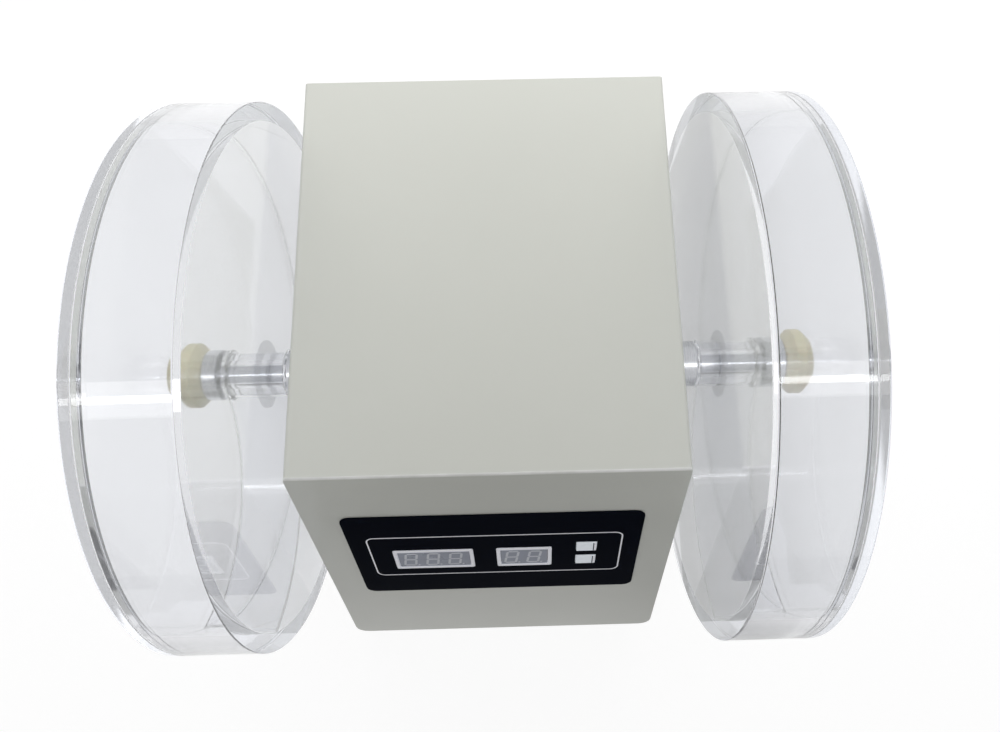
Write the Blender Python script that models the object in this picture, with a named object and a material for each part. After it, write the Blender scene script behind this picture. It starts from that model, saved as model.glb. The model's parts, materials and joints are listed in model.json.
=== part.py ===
"""Tablet friability tester: a folded casing with a sloped front, and a clear drum on each end of its shaft.

Metres, +Z up, +X along the shaft. The origin is under the middle of the part, on the surface it stands on.
"""
import math

import bmesh
import bpy
from mathutils import Matrix, Vector

# Seats and cuts
SEAT = 0.0003  # gap left between two pieces that touch
OVERRUN = 0.004  # how far a cut runs past what it cuts

# Casing
CASING_WIDTH = 0.215
CASING_TOP_DEPTH = 0.235
CASING_HEIGHT = 0.199
FRONT_SLANT = 0.094  # how far the front's lower edge stands ahead of its upper edge
SHEET = 0.0015
LOWER_CORNER_RADIUS = 0.008
UPPER_CORNER_RADIUS = 0.002
FRONT_BEND_RADIUS = 0.003
BOTTOM_FLANGE = 0.019
REAR_FLANGE = 0.013
SHAFT_HOLE_RADIUS = 0.0125
ARC_STEPS = 4
SMOOTH_UNDER = math.radians(35)

# Rear panel and base plate
REAR_PANEL_INSET = 0.004
VENT_COUNT = 6
VENT_WIDTH = 0.003
VENT_LENGTH = 0.036
VENT_PITCH = 0.008
REAR_VENT_RISE = 0.045  # above the casing's middle height
REAR_VENT_SIDE = 0.050
BASE_VENT_BACK = 0.060  # ahead of the casing's rear

# Feet
FOOT_HEIGHT = 0.010  # from the ground to the casing's underside
FOOT_TOP_RADIUS = 0.011
FOOT_GROUND_RADIUS = 0.0095
FOOT_STEM_RADIUS = 0.003
FOOT_BARB_RADIUS = 0.0042
FOOT_BARB_HEIGHT = 0.0024
FOOT_SIDES = 16
FOOT_INSET_X = 0.034
FOOT_INSET_FRONT = 0.040
FOOT_INSET_REAR = 0.034

# Screw holes
SCREW_HOLE_RADIUS = 0.0017
SCREW_HOLE_SIDES = 8
BASE_SCREW_SHARES = (-0.3, 0.0, 0.3)  # of the base's depth, from its middle

# Shaft line
AXIS_BELOW_TOP = 0.037
AXIS_BEHIND_FRONT_EDGE = 0.0654
SHAFT_RADIUS = 0.005
SHAFT_THREAD_IN_NUT = 0.0100
SHAFT_CHAMFER = 0.0007

# Clear drums
DRUM_RADIUS = 0.153
DRUM_RING_THICKNESS = 0.0095
DRUM_RING_LENGTH = 0.0366
DRUM_WALL_THICKNESS = 0.003
COVER_THICKNESS = 0.005
COVER_SPIGOT = 0.001
HUB_TUBE_RADIUS = 0.0123
HUB_BORE_CLEARANCE = 0.0004
HUB_FLANGE_RADIUS = 0.0200
HUB_FLANGE_THICKNESS = 0.0010
HUB_FLANGE_DEPTH = 0.0130  # inside the drum, from the casing-side wall
VANE_RADIUS_OVER_HALF_CHORD = 0.0152  # the vane's inner radius less half the line between its two edges
VANE_THICKNESS = 0.003
VANE_STEPS = 16
VANE_TURN = math.radians(180)  # where the vane points, from +Y towards +Z
LEFT_DRUM_GAP = 0.0095  # from the casing's side to the drum
RIGHT_DRUM_GAP = 0.0130
DRUM_SIDES = 64
HUB_SIDES = 24

# Clamp washer and nut
WASHER_RADIUS = 0.0148
WASHER_LENGTH = 0.0085
WASHER_CHAMFER = 0.0008
NUT_RADIUS = 0.0190
NUT_LENGTH = 0.0150
NUT_CHAMFER = 0.0048
NUT_BORE_DEPTH = 0.0110

# Drive collars and their pins
COLLAR_RADIUS = 0.0135
COLLAR_CASING_CLEARANCE = 0.0010
COLLAR_PIN_CIRCLE = 0.0090
COLLAR_PIN_RADIUS = 0.0013
COLLAR_PIN_REACH = 0.0022
PIN_HOLE_CLEARANCE = 0.0005

# Drive frame
FRAME_INSET = 0.0335  # from the casing's side to the upright's inner face
FRAME_THICKNESS = 0.003
FRAME_DEPTH = 0.084
FRAME_ABOVE_AXIS = 0.026

# Bearings
BEARING_RADIUS = 0.013
BEARING_WIDTH = 0.008
BEARING_GROOVE_DEPTH = 0.0006
BEARING_GROOVE_SHARES = (0.25, 0.75)  # where the seal lies between bore and rim
HOUSING_WALL = 0.003
HOUSING_FLANGE_RADIUS = 0.0225
HOUSING_FLANGE_THICKNESS = 0.003
HOUSING_LIP = 0.0025
HOUSING_SCREW_CIRCLE = 0.0190
HOUSING_SCREW_COUNT = 3
HOUSING_SCREW_START = math.radians(30)
STOP_RING_RADIUS = 0.0085
STOP_RING_WIDTH = 0.005

# Gears
GEAR_MODULE = 0.0015
GEAR_TEETH = 36
PINION_TEETH = 18
GEAR_WIDTH = 0.008
GEAR_PLACE = 0.0050  # from the bearing housing to the gear
GEAR_HUB_RADIUS = 0.0095
GEAR_HUB_LENGTH = 0.005
PRESSURE_ANGLE = math.radians(20)
TOOTH_THINNING = 0.0004
DEDENDUM_SHARE = 1.25
FLANK_STEPS = 2

# Motor
GEARBOX_RADIUS = 0.0185
GEARBOX_LENGTH = 0.0260
GEARBOX_BORE_DEPTH = 0.0120
MOTOR_RADIUS = 0.0165
MOTOR_LENGTH = 0.0450
MOTOR_CHAMFER = 0.0020
MOTOR_BOSS_RADIUS = 0.0080
MOTOR_BOSS_LENGTH = 0.0060
MOTOR_SHAFT_RADIUS = 0.003

# Turn counter
SENSOR_DISC_THICKNESS = 0.0012
SENSOR_NOTCH_COUNT = 12
SENSOR_NOTCH_DEPTH = 0.0045
SENSOR_NOTCH_SHARES = (0.0, 0.46, 0.50, 0.96)  # of one tooth and notch: where its four corners lie
SENSOR_DISC_PLACE = 0.0080  # from the bearing housing to the disc
SENSOR_HUB_RADIUS = 0.0090
SENSOR_HUB_LENGTH = 0.0060
SENSOR_GAP = 0.0050
SENSOR_LEG = 0.0035
SENSOR_HEIGHT = 0.012
SENSOR_BRIDGE = 0.0040
SENSOR_REACH = 0.0065  # how far the disc's rim enters the sensor
SENSOR_FLOOR_CLEARANCE = 0.0018
SENSOR_MOUTH_CLEARANCE = 0.0020  # from the bearing housing's rim to the sensor's mouth

# Front panel. Distances down the slope are from the casing's front top edge
LABEL_WIDTH = 0.1744
LABEL_HEIGHT = 0.1025
LABEL_DOWN = 0.0939  # to its middle
LABEL_THICKNESS = 0.0005
LABEL_CORNER_RADIUS = 0.006
DISPLAY_DOWN = 0.0975
REVOLUTIONS_X = -0.0383
REVOLUTIONS_BEZEL_WIDTH = 0.0488
SPEED_X = 0.0171
SPEED_BEZEL_WIDTH = 0.0338
BEZEL_HEIGHT = 0.0245
BEZEL_BORDER = 0.0024
BEZEL_PROUD = 0.0012
BEZEL_SKIRT = 0.0010
BEZEL_SKIRT_DEPTH = 0.0040
DISPLAY_RECESS = 0.0005
KEY_X = 0.0558
START_KEY_DOWN = 0.0866
REVERSE_KEY_DOWN = 0.1044
KEY_WIDTH = 0.0134
KEY_HEIGHT = 0.0128
KEY_PROUD = 0.0018
KEY_CLEARANCE = 0.0004
KEY_FLANGE = 0.0010
KEY_FLANGE_THICKNESS = 0.0010
KEY_STEM_WIDTH = 0.0040
KEY_TRAVEL = 0.0010
SWITCH_WIDTH = 0.0060
SWITCH_HEIGHT = 0.0035
SWITCH_PLUNGER_RADIUS = 0.0017

# Boards
BOARD_THICKNESS = 0.0016
DISPLAY_BOARD_WIDTH = 0.150
DISPLAY_BOARD_HEIGHT = 0.048
DISPLAY_BOARD_DEPTH = 0.0140  # from the casing's outer face to the board's front
CARRIER_WALL = 0.0025
TRAY_THICKNESS = 0.002
TRAY_POST_RADIUS = 0.003
TRAY_POST_HEIGHT = 0.008
TRAY_POST_INSET = 0.006
CONTROL_BOARD_WIDTH = 0.120
CONTROL_BOARD_BEHIND = 0.0116  # from the drive frame to the board's front edge
CONTROL_BOARD_AHEAD = 0.036  # from the rear panel to the board's rear edge

# Transformer
CORE_WIDTH = 0.048
CORE_HEIGHT = 0.040
CORE_DEPTH = 0.020
CORE_LIMB = 0.008
COIL_BULGE = 0.0065
TRANSFORMER_AHEAD = 0.030  # from the frame's front to the core

# Rear fittings. Heights are above the casing's underside
FITTINGS_HEIGHT = 0.050
INLET_X = -0.052
INLET_WIDTH = 0.0280
INLET_HEIGHT = 0.0210
INLET_FLANGE = 0.0040
INLET_FLANGE_THICKNESS = 0.0028
INLET_DEPTH = 0.0200
INLET_WALL = 0.0018
INLET_FLOOR = 0.0040
INLET_PIN_WIDTH = 0.0020
INLET_PIN_HEIGHT = 0.0040
INLET_PIN_LENGTH = 0.0110
INLET_PIN_PITCH = 0.0070
INLET_PIN_RISE = 0.0020
FUSE_X = 0.000
FUSE_RADIUS = 0.0065
FUSE_CAP_RADIUS = 0.0085
FUSE_CAP_FACE_RADIUS = 0.0073
FUSE_CAP_HEIGHT = 0.0030
FUSE_DEPTH = 0.0240
POWER_SWITCH_X = 0.048
POWER_SWITCH_WIDTH = 0.0190
POWER_SWITCH_HEIGHT = 0.0260
POWER_SWITCH_FLANGE = 0.0018
POWER_SWITCH_FLANGE_THICKNESS = 0.0018
POWER_SWITCH_DEPTH = 0.0150
POWER_SWITCH_WALL = 0.0015
POWER_SWITCH_FLOOR = 0.0030
ROCKER_THICKNESS = 0.0060
ROCKER_PIVOT_DEPTH = 0.0045
ROCKER_RISE = 0.0042  # from the pivot to the top of its ridge
ROCKER_TILT = math.radians(9)
ROCKER_CLEARANCE = 0.0005

# Places that follow from the sizes
DRUM_LENGTH = DRUM_WALL_THICKNESS + SEAT + DRUM_RING_LENGTH + SEAT + COVER_THICKNESS
CLAMP_LENGTH = SEAT + WASHER_LENGTH + SEAT + NUT_LENGTH
CASING_HALF = CASING_WIDTH / 2
LEFT_REACH = CASING_HALF + LEFT_DRUM_GAP + DRUM_LENGTH + CLAMP_LENGTH
RIGHT_REACH = CASING_HALF + RIGHT_DRUM_GAP + DRUM_LENGTH + CLAMP_LENGTH
CASING_X = (LEFT_REACH - RIGHT_REACH) / 2
BASE_DEPTH = CASING_TOP_DEPTH + FRONT_SLANT
REAR_PROUD = SEAT + SHEET + SEAT + max(INLET_FLANGE_THICKNESS, FUSE_CAP_HEIGHT)
FRONT_Y = -(BASE_DEPTH + REAR_PROUD) / 2
BACK_Y = FRONT_Y + BASE_DEPTH
FRONT_TOP_Y = FRONT_Y + FRONT_SLANT
BOTTOM_Z = FOOT_HEIGHT
TOP_Z = BOTTOM_Z + CASING_HEIGHT
AXIS_Y = FRONT_TOP_Y + AXIS_BEHIND_FRONT_EDGE
AXIS_Z = TOP_Z - AXIS_BELOW_TOP
SLOPE_TURN = math.atan2(CASING_HEIGHT, FRONT_SLANT)
FLOOR_Z = BOTTOM_Z + SHEET + SEAT + SHEET  # top of the base plate
REAR_FACE_Y = BACK_Y + SEAT + SHEET  # outer face of the rear panel
HUB_BORE_RADIUS = SHAFT_RADIUS + HUB_BORE_CLEARANCE
DRUM_BORE_RADIUS = DRUM_RADIUS - DRUM_RING_THICKNESS
FRAME_INNER_X = CASING_HALF - FRAME_INSET  # inner face of each upright, from the casing's middle
FRAME_REAR_Y = AXIS_Y + FRAME_DEPTH / 2
CONTROL_BOARD_DEPTH = BACK_Y - CONTROL_BOARD_AHEAD - FRAME_REAR_Y - CONTROL_BOARD_BEHIND
FRAME_OUTER_X = FRAME_INNER_X + FRAME_THICKNESS
HOUSING_X = FRAME_OUTER_X + SEAT  # inner face of the housing's flange
HOUSING_OUTER_X = HOUSING_X + HOUSING_FLANGE_THICKNESS
CENTRE_DISTANCE = GEAR_MODULE * (GEAR_TEETH + PINION_TEETH) / 2
MOTOR_Z = AXIS_Z - CENTRE_DISTANCE
SENSOR_MOUTH = HOUSING_FLANGE_RADIUS + SENSOR_MOUTH_CLEARANCE
SENSOR_DISC_RADIUS = SENSOR_MOUTH + SENSOR_REACH
SHAFT_LEFT_X = CASING_X - LEFT_REACH + NUT_LENGTH - SHAFT_THREAD_IN_NUT
SHAFT_RIGHT_X = CASING_X + RIGHT_REACH - NUT_LENGTH + SHAFT_THREAD_IN_NUT
SIDES = (("left", -1, LEFT_DRUM_GAP), ("right", 1, RIGHT_DRUM_GAP))
AXIS_FRAMES = {
    "X": Matrix(((0, 0, 1), (1, 0, 0), (0, 1, 0))),
    "Y": Matrix(((1, 0, 0), (0, 0, 1), (0, 1, 0))),
    "Z": Matrix.Identity(3),
}  # turn (across, up, along) into world directions for a shape that runs along each axis

FINISHES = {
    "cream_enamel": ((0.68, 0.68, 0.63, 1), 0.45, 0.0),
    "label_film": ((0.012, 0.012, 0.02, 1), 0.30, 0.0),
    "bezel_plastic": ((0.62, 0.64, 0.70, 1), 0.35, 0.0),
    "display_face": ((0.24, 0.26, 0.29, 1), 0.25, 0.0),
    "key_plastic": ((0.60, 0.66, 0.72, 1), 0.40, 0.0),
    "clear_acrylic": ((0.90, 0.91, 0.94, 1), 0.05, 0.0),
    "cream_nylon": ((0.78, 0.73, 0.55, 1), 0.50, 0.0),
    "turned_steel": ((0.62, 0.63, 0.65, 1), 0.25, 1.0),
    "aluminium": ((0.70, 0.71, 0.72, 1), 0.35, 1.0),
    "black_rubber": ((0.02, 0.02, 0.02, 1), 0.80, 0.0),
    "black_plastic": ((0.02, 0.02, 0.022, 1), 0.45, 0.0),
    "circuit_board": ((0.03, 0.16, 0.07, 1), 0.45, 0.0),
    "copper_winding": ((0.60, 0.26, 0.10, 1), 0.40, 1.0),
    "core_iron": ((0.16, 0.16, 0.17, 1), 0.55, 1.0),
    "brass": ((0.68, 0.50, 0.22, 1), 0.30, 1.0),
    "frame_steel": ((0.48, 0.49, 0.50, 1), 0.45, 1.0),
}


def clear_scene():
    for old in list(bpy.data.objects):
        bpy.data.objects.remove(old)


def material_of(finish):
    """The named finish as a Principled material, made on first use."""
    found = bpy.data.materials.get(finish)
    if found:
        return found
    color, roughness, metallic = FINISHES[finish]
    made = bpy.data.materials.new(finish)
    made.use_nodes = True
    shader = made.node_tree.nodes["Principled BSDF"]
    shader.inputs["Base Color"].default_value = color
    shader.inputs["Roughness"].default_value = roughness
    shader.inputs["Metallic"].default_value = metallic
    made.diffuse_color = color
    return made


def shape(name, bm, parent, location):
    """An object made of the closed shapes gathered in bm."""
    bmesh.ops.recalc_face_normals(bm, faces=bm.faces)
    mesh = bpy.data.meshes.new(name)
    bm.to_mesh(mesh)
    bm.free()
    obj = bpy.data.objects.new(name, mesh)
    bpy.context.scene.collection.objects.link(obj)
    obj.parent = parent
    obj.location = location
    return obj


def piece(name, bm, finish, parent=None, location=(0, 0, 0), smooth=True):
    """One of the part's pieces, in its finish."""
    obj = shape(name, bm, parent, location)
    if smooth:
        obj.data.shade_smooth()
        obj.data.set_sharp_from_angle(angle=SMOOTH_UNDER)
    obj.data.materials.append(material_of(finish))
    return obj


def combine(obj, other, operation):
    """Hides the other object and takes it out of obj, joins it on or keeps what both share."""
    other.hide_render = True
    other.display_type = "WIRE"
    boolean = obj.modifiers.new(other.name, "BOOLEAN")
    boolean.operation = operation
    boolean.solver = "EXACT"
    boolean.object = other


def cut(obj, name, bm, parent=None):
    combine(obj, shape(name, bm, parent, (0, 0, 0)), "DIFFERENCE")


def join(obj, name, bm, parent=None):
    combine(obj, shape(name, bm, parent, (0, 0, 0)), "UNION")


def keep_inside(obj, name, bm, parent=None):
    combine(obj, shape(name, bm, parent, (0, 0, 0)), "INTERSECT")


def empty(name, location, turn_x=0.0):
    made = bpy.data.objects.new(name, None)
    bpy.context.scene.collection.objects.link(made)
    made.location = location
    made.rotation_euler = (turn_x, 0, 0)
    return made


def extrude(bm, face, by):
    """Extrudes a face, moves its new copy and returns that copy."""
    made = bmesh.ops.extrude_face_region(bm, geom=[face, *face.edges])["geom"]
    bmesh.ops.translate(bm, verts=[item for item in made if isinstance(item, bmesh.types.BMVert)], vec=by)
    return next(item for item in made if isinstance(item, bmesh.types.BMFace))


def add_prism(bm, outline, low, high, along):
    """A flat outline extruded from low to high along an axis; its points hold the other two axes in order."""
    turn = AXIS_FRAMES[along]
    corners = [bm.verts.new(turn @ Vector((first, second, low))) for first, second in outline]
    extrude(bm, bm.faces.new(corners), turn @ Vector((0, 0, high - low)))


def add_box(bm, middle, size):
    """A box by its middle point and its three full sizes."""
    bmesh.ops.create_cube(bm, size=1, matrix=Matrix.LocRotScale(Vector(middle), None, Vector(size)))


def add_turned(bm, profile, sides, along="X", centre=(0, 0, 0), hollow=False):
    """Spins a profile of (place along the axis, radius) points. A hollow piece's profile is a loop."""
    turn = AXIS_FRAMES[along]
    points = [bm.verts.new(Vector(centre) + turn @ Vector((radius, 0, reach))) for reach, radius in profile]
    lines = [bm.edges.new(pair) for pair in zip(points, points[1:])]
    if hollow:
        lines.append(bm.edges.new((points[-1], points[0])))
    bmesh.ops.spin(bm, geom=points + lines, cent=centre, axis=turn @ Vector((0, 0, 1)), angle=math.tau,
                   steps=sides, use_merge=True, use_duplicate=False)
    if not hollow:
        bmesh.ops.holes_fill(bm, edges=[edge for edge in bm.edges if edge.is_boundary], sides=0)


def add_hole(bm, place, radius, along="X", sides=SCREW_HOLE_SIDES):
    """A round cut through a sheet, centred on the given point."""
    add_turned(bm, ((-OVERRUN, radius), (OVERRUN, radius)), sides, along, place)


def add_steps(bm, levels, centre=(0, 0)):
    """Stacked rectangles, from (height, width, depth) levels. Two levels at one height make a shoulder."""
    height, width, depth = levels[0]
    outline = [(centre[0] + side * width / 2, centre[1] + end * depth / 2)
               for side, end in ((-1, -1), (1, -1), (1, 1), (-1, 1))]
    top = bm.faces.new([bm.verts.new((x, y, height)) for x, y in outline])
    about = Matrix.Translation((-centre[0], -centre[1], 0))
    for next_height, next_width, next_depth in levels[1:]:
        top = extrude(bm, top, (0, 0, next_height - height))
        bmesh.ops.scale(bm, vec=(next_width / width, next_depth / depth, 1), verts=top.verts, space=about)
        height, width, depth = next_height, next_width, next_depth


def rounded_rectangle(width, height, radii, centre=(0, 0)):
    """A rectangle with a radius for each corner: low right, high right, high left, low left."""
    outline = []
    corners = ((1, -1), (1, 1), (-1, 1), (-1, -1))
    for number, ((side, up), radius) in enumerate(zip(corners, radii)):
        start = math.radians(90) * (number - 1)
        for step in range(ARC_STEPS + 1):
            angle = start + math.radians(90) * step / ARC_STEPS
            x = side * (width / 2 - radius) + radius * math.cos(angle)
            y = up * (height / 2 - radius) + radius * math.sin(angle)
            outline.append((centre[0] + x, centre[1] + y))
    return outline


def side_outline(inset):
    """The casing from the side, drawn in by inset: sloped front, rounded bend and flat top."""
    bend = FRONT_BEND_RADIUS - min(inset, FRONT_BEND_RADIUS / 2)
    lean = math.atan2(FRONT_SLANT, CASING_HEIGHT)
    along = Vector((math.sin(lean), math.cos(lean)))
    normal = Vector((-along.y, along.x))
    top = TOP_Z - inset
    bottom = BOTTOM_Z + inset
    foot = Vector((FRONT_Y, BOTTOM_Z)) - normal * inset
    low = foot + along * ((bottom - foot.y) / along.y)
    high = foot + along * ((top - foot.y) / along.y)
    turn = math.radians(90) - lean
    centre = high + Vector((bend * math.tan(turn / 2), -bend))
    outline = [tuple(low)]
    for step in range(ARC_STEPS + 1):
        angle = math.radians(90) + turn * (1 - step / ARC_STEPS)
        outline.append((centre.x + bend * math.cos(angle), centre.y + bend * math.sin(angle)))
    outline.append((BACK_Y - inset, top))
    outline.append((BACK_Y - inset, bottom))
    return outline


def front_outline(inset):
    """The casing from the front, drawn in by inset, with larger lower corners."""
    lower = LOWER_CORNER_RADIUS - inset
    upper = max(UPPER_CORNER_RADIUS - inset, UPPER_CORNER_RADIUS / 4)
    size = (CASING_WIDTH - 2 * inset, CASING_HEIGHT - 2 * inset)
    middle = (CASING_X, (BOTTOM_Z + TOP_Z) / 2)
    return rounded_rectangle(size[0], size[1], (lower, upper, upper, lower), middle)


def rear_screw_places():
    """Where the rear panel's screws enter the casing's rear flange: x and z."""
    inset = (REAR_FLANGE + REAR_PANEL_INSET) / 2
    middle = (BOTTOM_Z + TOP_Z) / 2
    return [(CASING_X + side * (CASING_HALF - inset), middle + rise * (CASING_HEIGHT / 2 - inset))
            for side in (-1, 1) for rise in (-1, 0, 1)]


def base_screw_places():
    """Where the base plate's screws enter the casing's bottom flange: x and y."""
    across = CASING_HALF - (BOTTOM_FLANGE + LOWER_CORNER_RADIUS) / 2
    return [(CASING_X + side * across, (FRONT_Y + BACK_Y) / 2 + share * BASE_DEPTH)
            for side in (-1, 1) for share in BASE_SCREW_SHARES]


def make_casing_shell():
    """The folded sheet: what two outlines share, hollowed, then opened below, behind and for what passes."""
    wide = CASING_HALF + OVERRUN
    bm = bmesh.new()
    add_prism(bm, side_outline(0), CASING_X - wide, CASING_X + wide, "X")
    shell = piece("casing_shell", bm, "cream_enamel")
    bm = bmesh.new()
    add_prism(bm, front_outline(0), FRONT_Y - OVERRUN, BACK_Y + OVERRUN, "Y")
    keep_inside(shell, "casing_front_outline", bm)
    bm = bmesh.new()
    add_prism(bm, side_outline(SHEET), CASING_X - wide, CASING_X + wide, "X")
    hollow = shape("casing_hollow", bm, None, (0, 0, 0))
    bm = bmesh.new()
    add_prism(bm, front_outline(SHEET), FRONT_Y - OVERRUN, BACK_Y + OVERRUN, "Y")
    keep_inside(hollow, "casing_hollow_outline", bm)
    combine(shell, hollow, "DIFFERENCE")
    bm = bmesh.new()
    front_edge = FRONT_Y + BOTTOM_FLANGE
    opening_depth = BACK_Y - BOTTOM_FLANGE - front_edge
    add_box(bm, (CASING_X, front_edge + opening_depth / 2, BOTTOM_Z),
            (CASING_WIDTH - 2 * BOTTOM_FLANGE, opening_depth, 2 * OVERRUN))
    add_box(bm, (CASING_X, BACK_Y, (BOTTOM_Z + TOP_Z) / 2),
            (CASING_WIDTH - 2 * REAR_FLANGE, 2 * OVERRUN, CASING_HEIGHT - 2 * REAR_FLANGE))
    for side in (-1, 1):
        add_hole(bm, (CASING_X + side * CASING_HALF, AXIS_Y, AXIS_Z), SHAFT_HOLE_RADIUS, sides=HUB_SIDES)
    for x, z in rear_screw_places():
        add_hole(bm, (x, BACK_Y, z), SCREW_HOLE_RADIUS, "Y")
    for x, y in base_screw_places():
        add_hole(bm, (x, y, BOTTOM_Z), SCREW_HOLE_RADIUS, "Z")
    cut(shell, "casing_openings", bm)
    return shell


def make_rear_panel():
    """The plate over the rear opening, with vents and the places of the mains fittings."""
    width = CASING_WIDTH - 2 * REAR_PANEL_INSET
    height = CASING_HEIGHT - 2 * REAR_PANEL_INSET
    middle_z = (BOTTOM_Z + TOP_Z) / 2
    radii = (LOWER_CORNER_RADIUS, UPPER_CORNER_RADIUS, UPPER_CORNER_RADIUS, LOWER_CORNER_RADIUS)
    bm = bmesh.new()
    outline = rounded_rectangle(width, height, radii, (CASING_X, middle_z))
    add_prism(bm, outline, BACK_Y + SEAT, REAR_FACE_Y, "Y")
    panel = piece("rear_panel", bm, "cream_enamel")
    bm = bmesh.new()
    fittings_z = BOTTOM_Z + FITTINGS_HEIGHT
    deep = 2 * OVERRUN
    add_box(bm, (CASING_X + INLET_X, REAR_FACE_Y, fittings_z),
            (INLET_WIDTH + 2 * SEAT, deep, INLET_HEIGHT + 2 * SEAT))
    add_box(bm, (CASING_X + POWER_SWITCH_X, REAR_FACE_Y, fittings_z),
            (POWER_SWITCH_WIDTH + 2 * SEAT, deep, POWER_SWITCH_HEIGHT + 2 * SEAT))
    add_hole(bm, (CASING_X + FUSE_X, REAR_FACE_Y, fittings_z), FUSE_RADIUS + SEAT, "Y", HUB_SIDES)
    for side in (-1, 1):
        for number in range(VENT_COUNT):
            z = middle_z + REAR_VENT_RISE + (number - (VENT_COUNT - 1) / 2) * VENT_PITCH
            add_box(bm, (CASING_X + side * REAR_VENT_SIDE, REAR_FACE_Y, z), (VENT_LENGTH, deep, VENT_WIDTH))
    for x, z in rear_screw_places():
        add_hole(bm, (x, REAR_FACE_Y, z), SCREW_HOLE_RADIUS, "Y")
    cut(panel, "rear_panel_openings", bm)


def foot_places():
    """Each rubber foot's name and place on the ground."""
    across = CASING_HALF - FOOT_INSET_X
    ends = (("front", FRONT_Y + FOOT_INSET_FRONT), ("rear", BACK_Y - FOOT_INSET_REAR))
    return [(f"{end}_{name}", CASING_X + side * across, y) for name, side, gap in SIDES for end, y in ends]


def make_base_plate():
    """The plate on the casing's bottom flange, which carries everything inside."""
    low = FLOOR_Z - SHEET
    slope_sheet = SHEET / math.sin(SLOPE_TURN)
    front = FRONT_Y + slope_sheet + (FLOOR_Z - BOTTOM_Z) * FRONT_SLANT / CASING_HEIGHT + SEAT
    rear = BACK_Y - SHEET - SEAT
    width = CASING_WIDTH - 2 * LOWER_CORNER_RADIUS
    bm = bmesh.new()
    add_box(bm, (CASING_X, (front + rear) / 2, low + SHEET / 2), (width, rear - front, SHEET))
    plate = piece("base_plate", bm, "frame_steel", smooth=False)
    bm = bmesh.new()
    for x, y in base_screw_places():
        add_hole(bm, (x, y, low), SCREW_HOLE_RADIUS, "Z")
    for name, x, y in foot_places():
        add_hole(bm, (x, y, low), FOOT_STEM_RADIUS + SEAT, "Z", FOOT_SIDES)
    for number in range(VENT_COUNT):
        x = CASING_X + (number - (VENT_COUNT - 1) / 2) * VENT_PITCH
        add_box(bm, (x, BACK_Y - BASE_VENT_BACK, low), (VENT_WIDTH, VENT_LENGTH, 2 * OVERRUN))
    cut(plate, "base_plate_openings", bm)


def make_rubber_feet():
    """Four push-in feet: a tapered pad, a stem through the base plate and a barb above it."""
    top = FLOOR_Z - SHEET - SEAT
    barb = FLOOR_Z + SEAT
    tip = barb + FOOT_BARB_HEIGHT
    profile = ((0, FOOT_GROUND_RADIUS), (top, FOOT_TOP_RADIUS), (top, FOOT_STEM_RADIUS),
               (barb, FOOT_STEM_RADIUS), (barb, FOOT_BARB_RADIUS), (tip, FOOT_STEM_RADIUS))
    for name, x, y in foot_places():
        bm = bmesh.new()
        add_turned(bm, profile, FOOT_SIDES, "Z")
        piece(f"rubber_foot_{name}", bm, "black_rubber", location=(x, y, 0))


def display_sites():
    """Both displays: name, middle, bezel width."""
    return (("revolutions", REVOLUTIONS_X, REVOLUTIONS_BEZEL_WIDTH), ("speed", SPEED_X, SPEED_BEZEL_WIDTH))


def key_sites():
    return (("start", START_KEY_DOWN), ("reverse", REVERSE_KEY_DOWN))


def add_front_openings(bm):
    """Cutters for the displays' skirts and for the keys, through label and sheet."""
    for name, x, width in display_sites():
        across, up = skirt_size(width)
        add_box(bm, (x, -DISPLAY_DOWN, 0), (across + 2 * SEAT, up + 2 * SEAT, 2 * OVERRUN))
    hole = (KEY_WIDTH + 2 * KEY_CLEARANCE, KEY_HEIGHT + 2 * KEY_CLEARANCE)
    for name, down in key_sites():
        add_box(bm, (KEY_X, -down, 0), (*hole, 2 * OVERRUN))


def make_front_label(panel):
    outline = rounded_rectangle(LABEL_WIDTH, LABEL_HEIGHT, (LABEL_CORNER_RADIUS,) * 4, (0, -LABEL_DOWN))
    bm = bmesh.new()
    add_prism(bm, outline, SEAT, SEAT + LABEL_THICKNESS, "Z")
    label = piece("front_label", bm, "label_film", panel)
    bm = bmesh.new()
    add_front_openings(bm)
    cut(label, "label_openings", bm, panel)


def bezel_opening(width):
    return width - 2 * BEZEL_BORDER, BEZEL_HEIGHT - 2 * BEZEL_BORDER


def skirt_size(width):
    """Outside of the collar that a bezel sends through label and sheet."""
    across, up = bezel_opening(width)
    return across + 2 * BEZEL_SKIRT, up + 2 * BEZEL_SKIRT


def make_bezel(panel, name, x, width):
    """A light frame on the label, whose skirt lines the opening behind it."""
    seat = 2 * SEAT + LABEL_THICKNESS
    skirt = skirt_size(width)
    bm = bmesh.new()
    add_steps(bm, ((seat - BEZEL_SKIRT_DEPTH, *skirt), (seat, *skirt), (seat, width, BEZEL_HEIGHT),
                   (seat + BEZEL_PROUD, width, BEZEL_HEIGHT)), (x, -DISPLAY_DOWN))
    bezel = piece(name + "_bezel", bm, "bezel_plastic", panel, smooth=False)
    bm = bmesh.new()
    add_box(bm, (x, -DISPLAY_DOWN, 0), (*bezel_opening(width), 2 * (BEZEL_SKIRT_DEPTH + OVERRUN)))
    cut(bezel, name + "_bezel_opening", bm, panel)


def make_display(panel, name, x, width):
    """The digit module: it stands on the display board and fills the bezel's opening."""
    face = 2 * SEAT + LABEL_THICKNESS + BEZEL_PROUD - DISPLAY_RECESS
    back = SEAT - DISPLAY_BOARD_DEPTH
    across, up = bezel_opening(width)
    bm = bmesh.new()
    add_box(bm, (x, -DISPLAY_DOWN, (face + back) / 2), (across - 2 * SEAT, up - 2 * SEAT, face - back))
    piece(name + "_display", bm, "display_face", panel, smooth=False)


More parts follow.
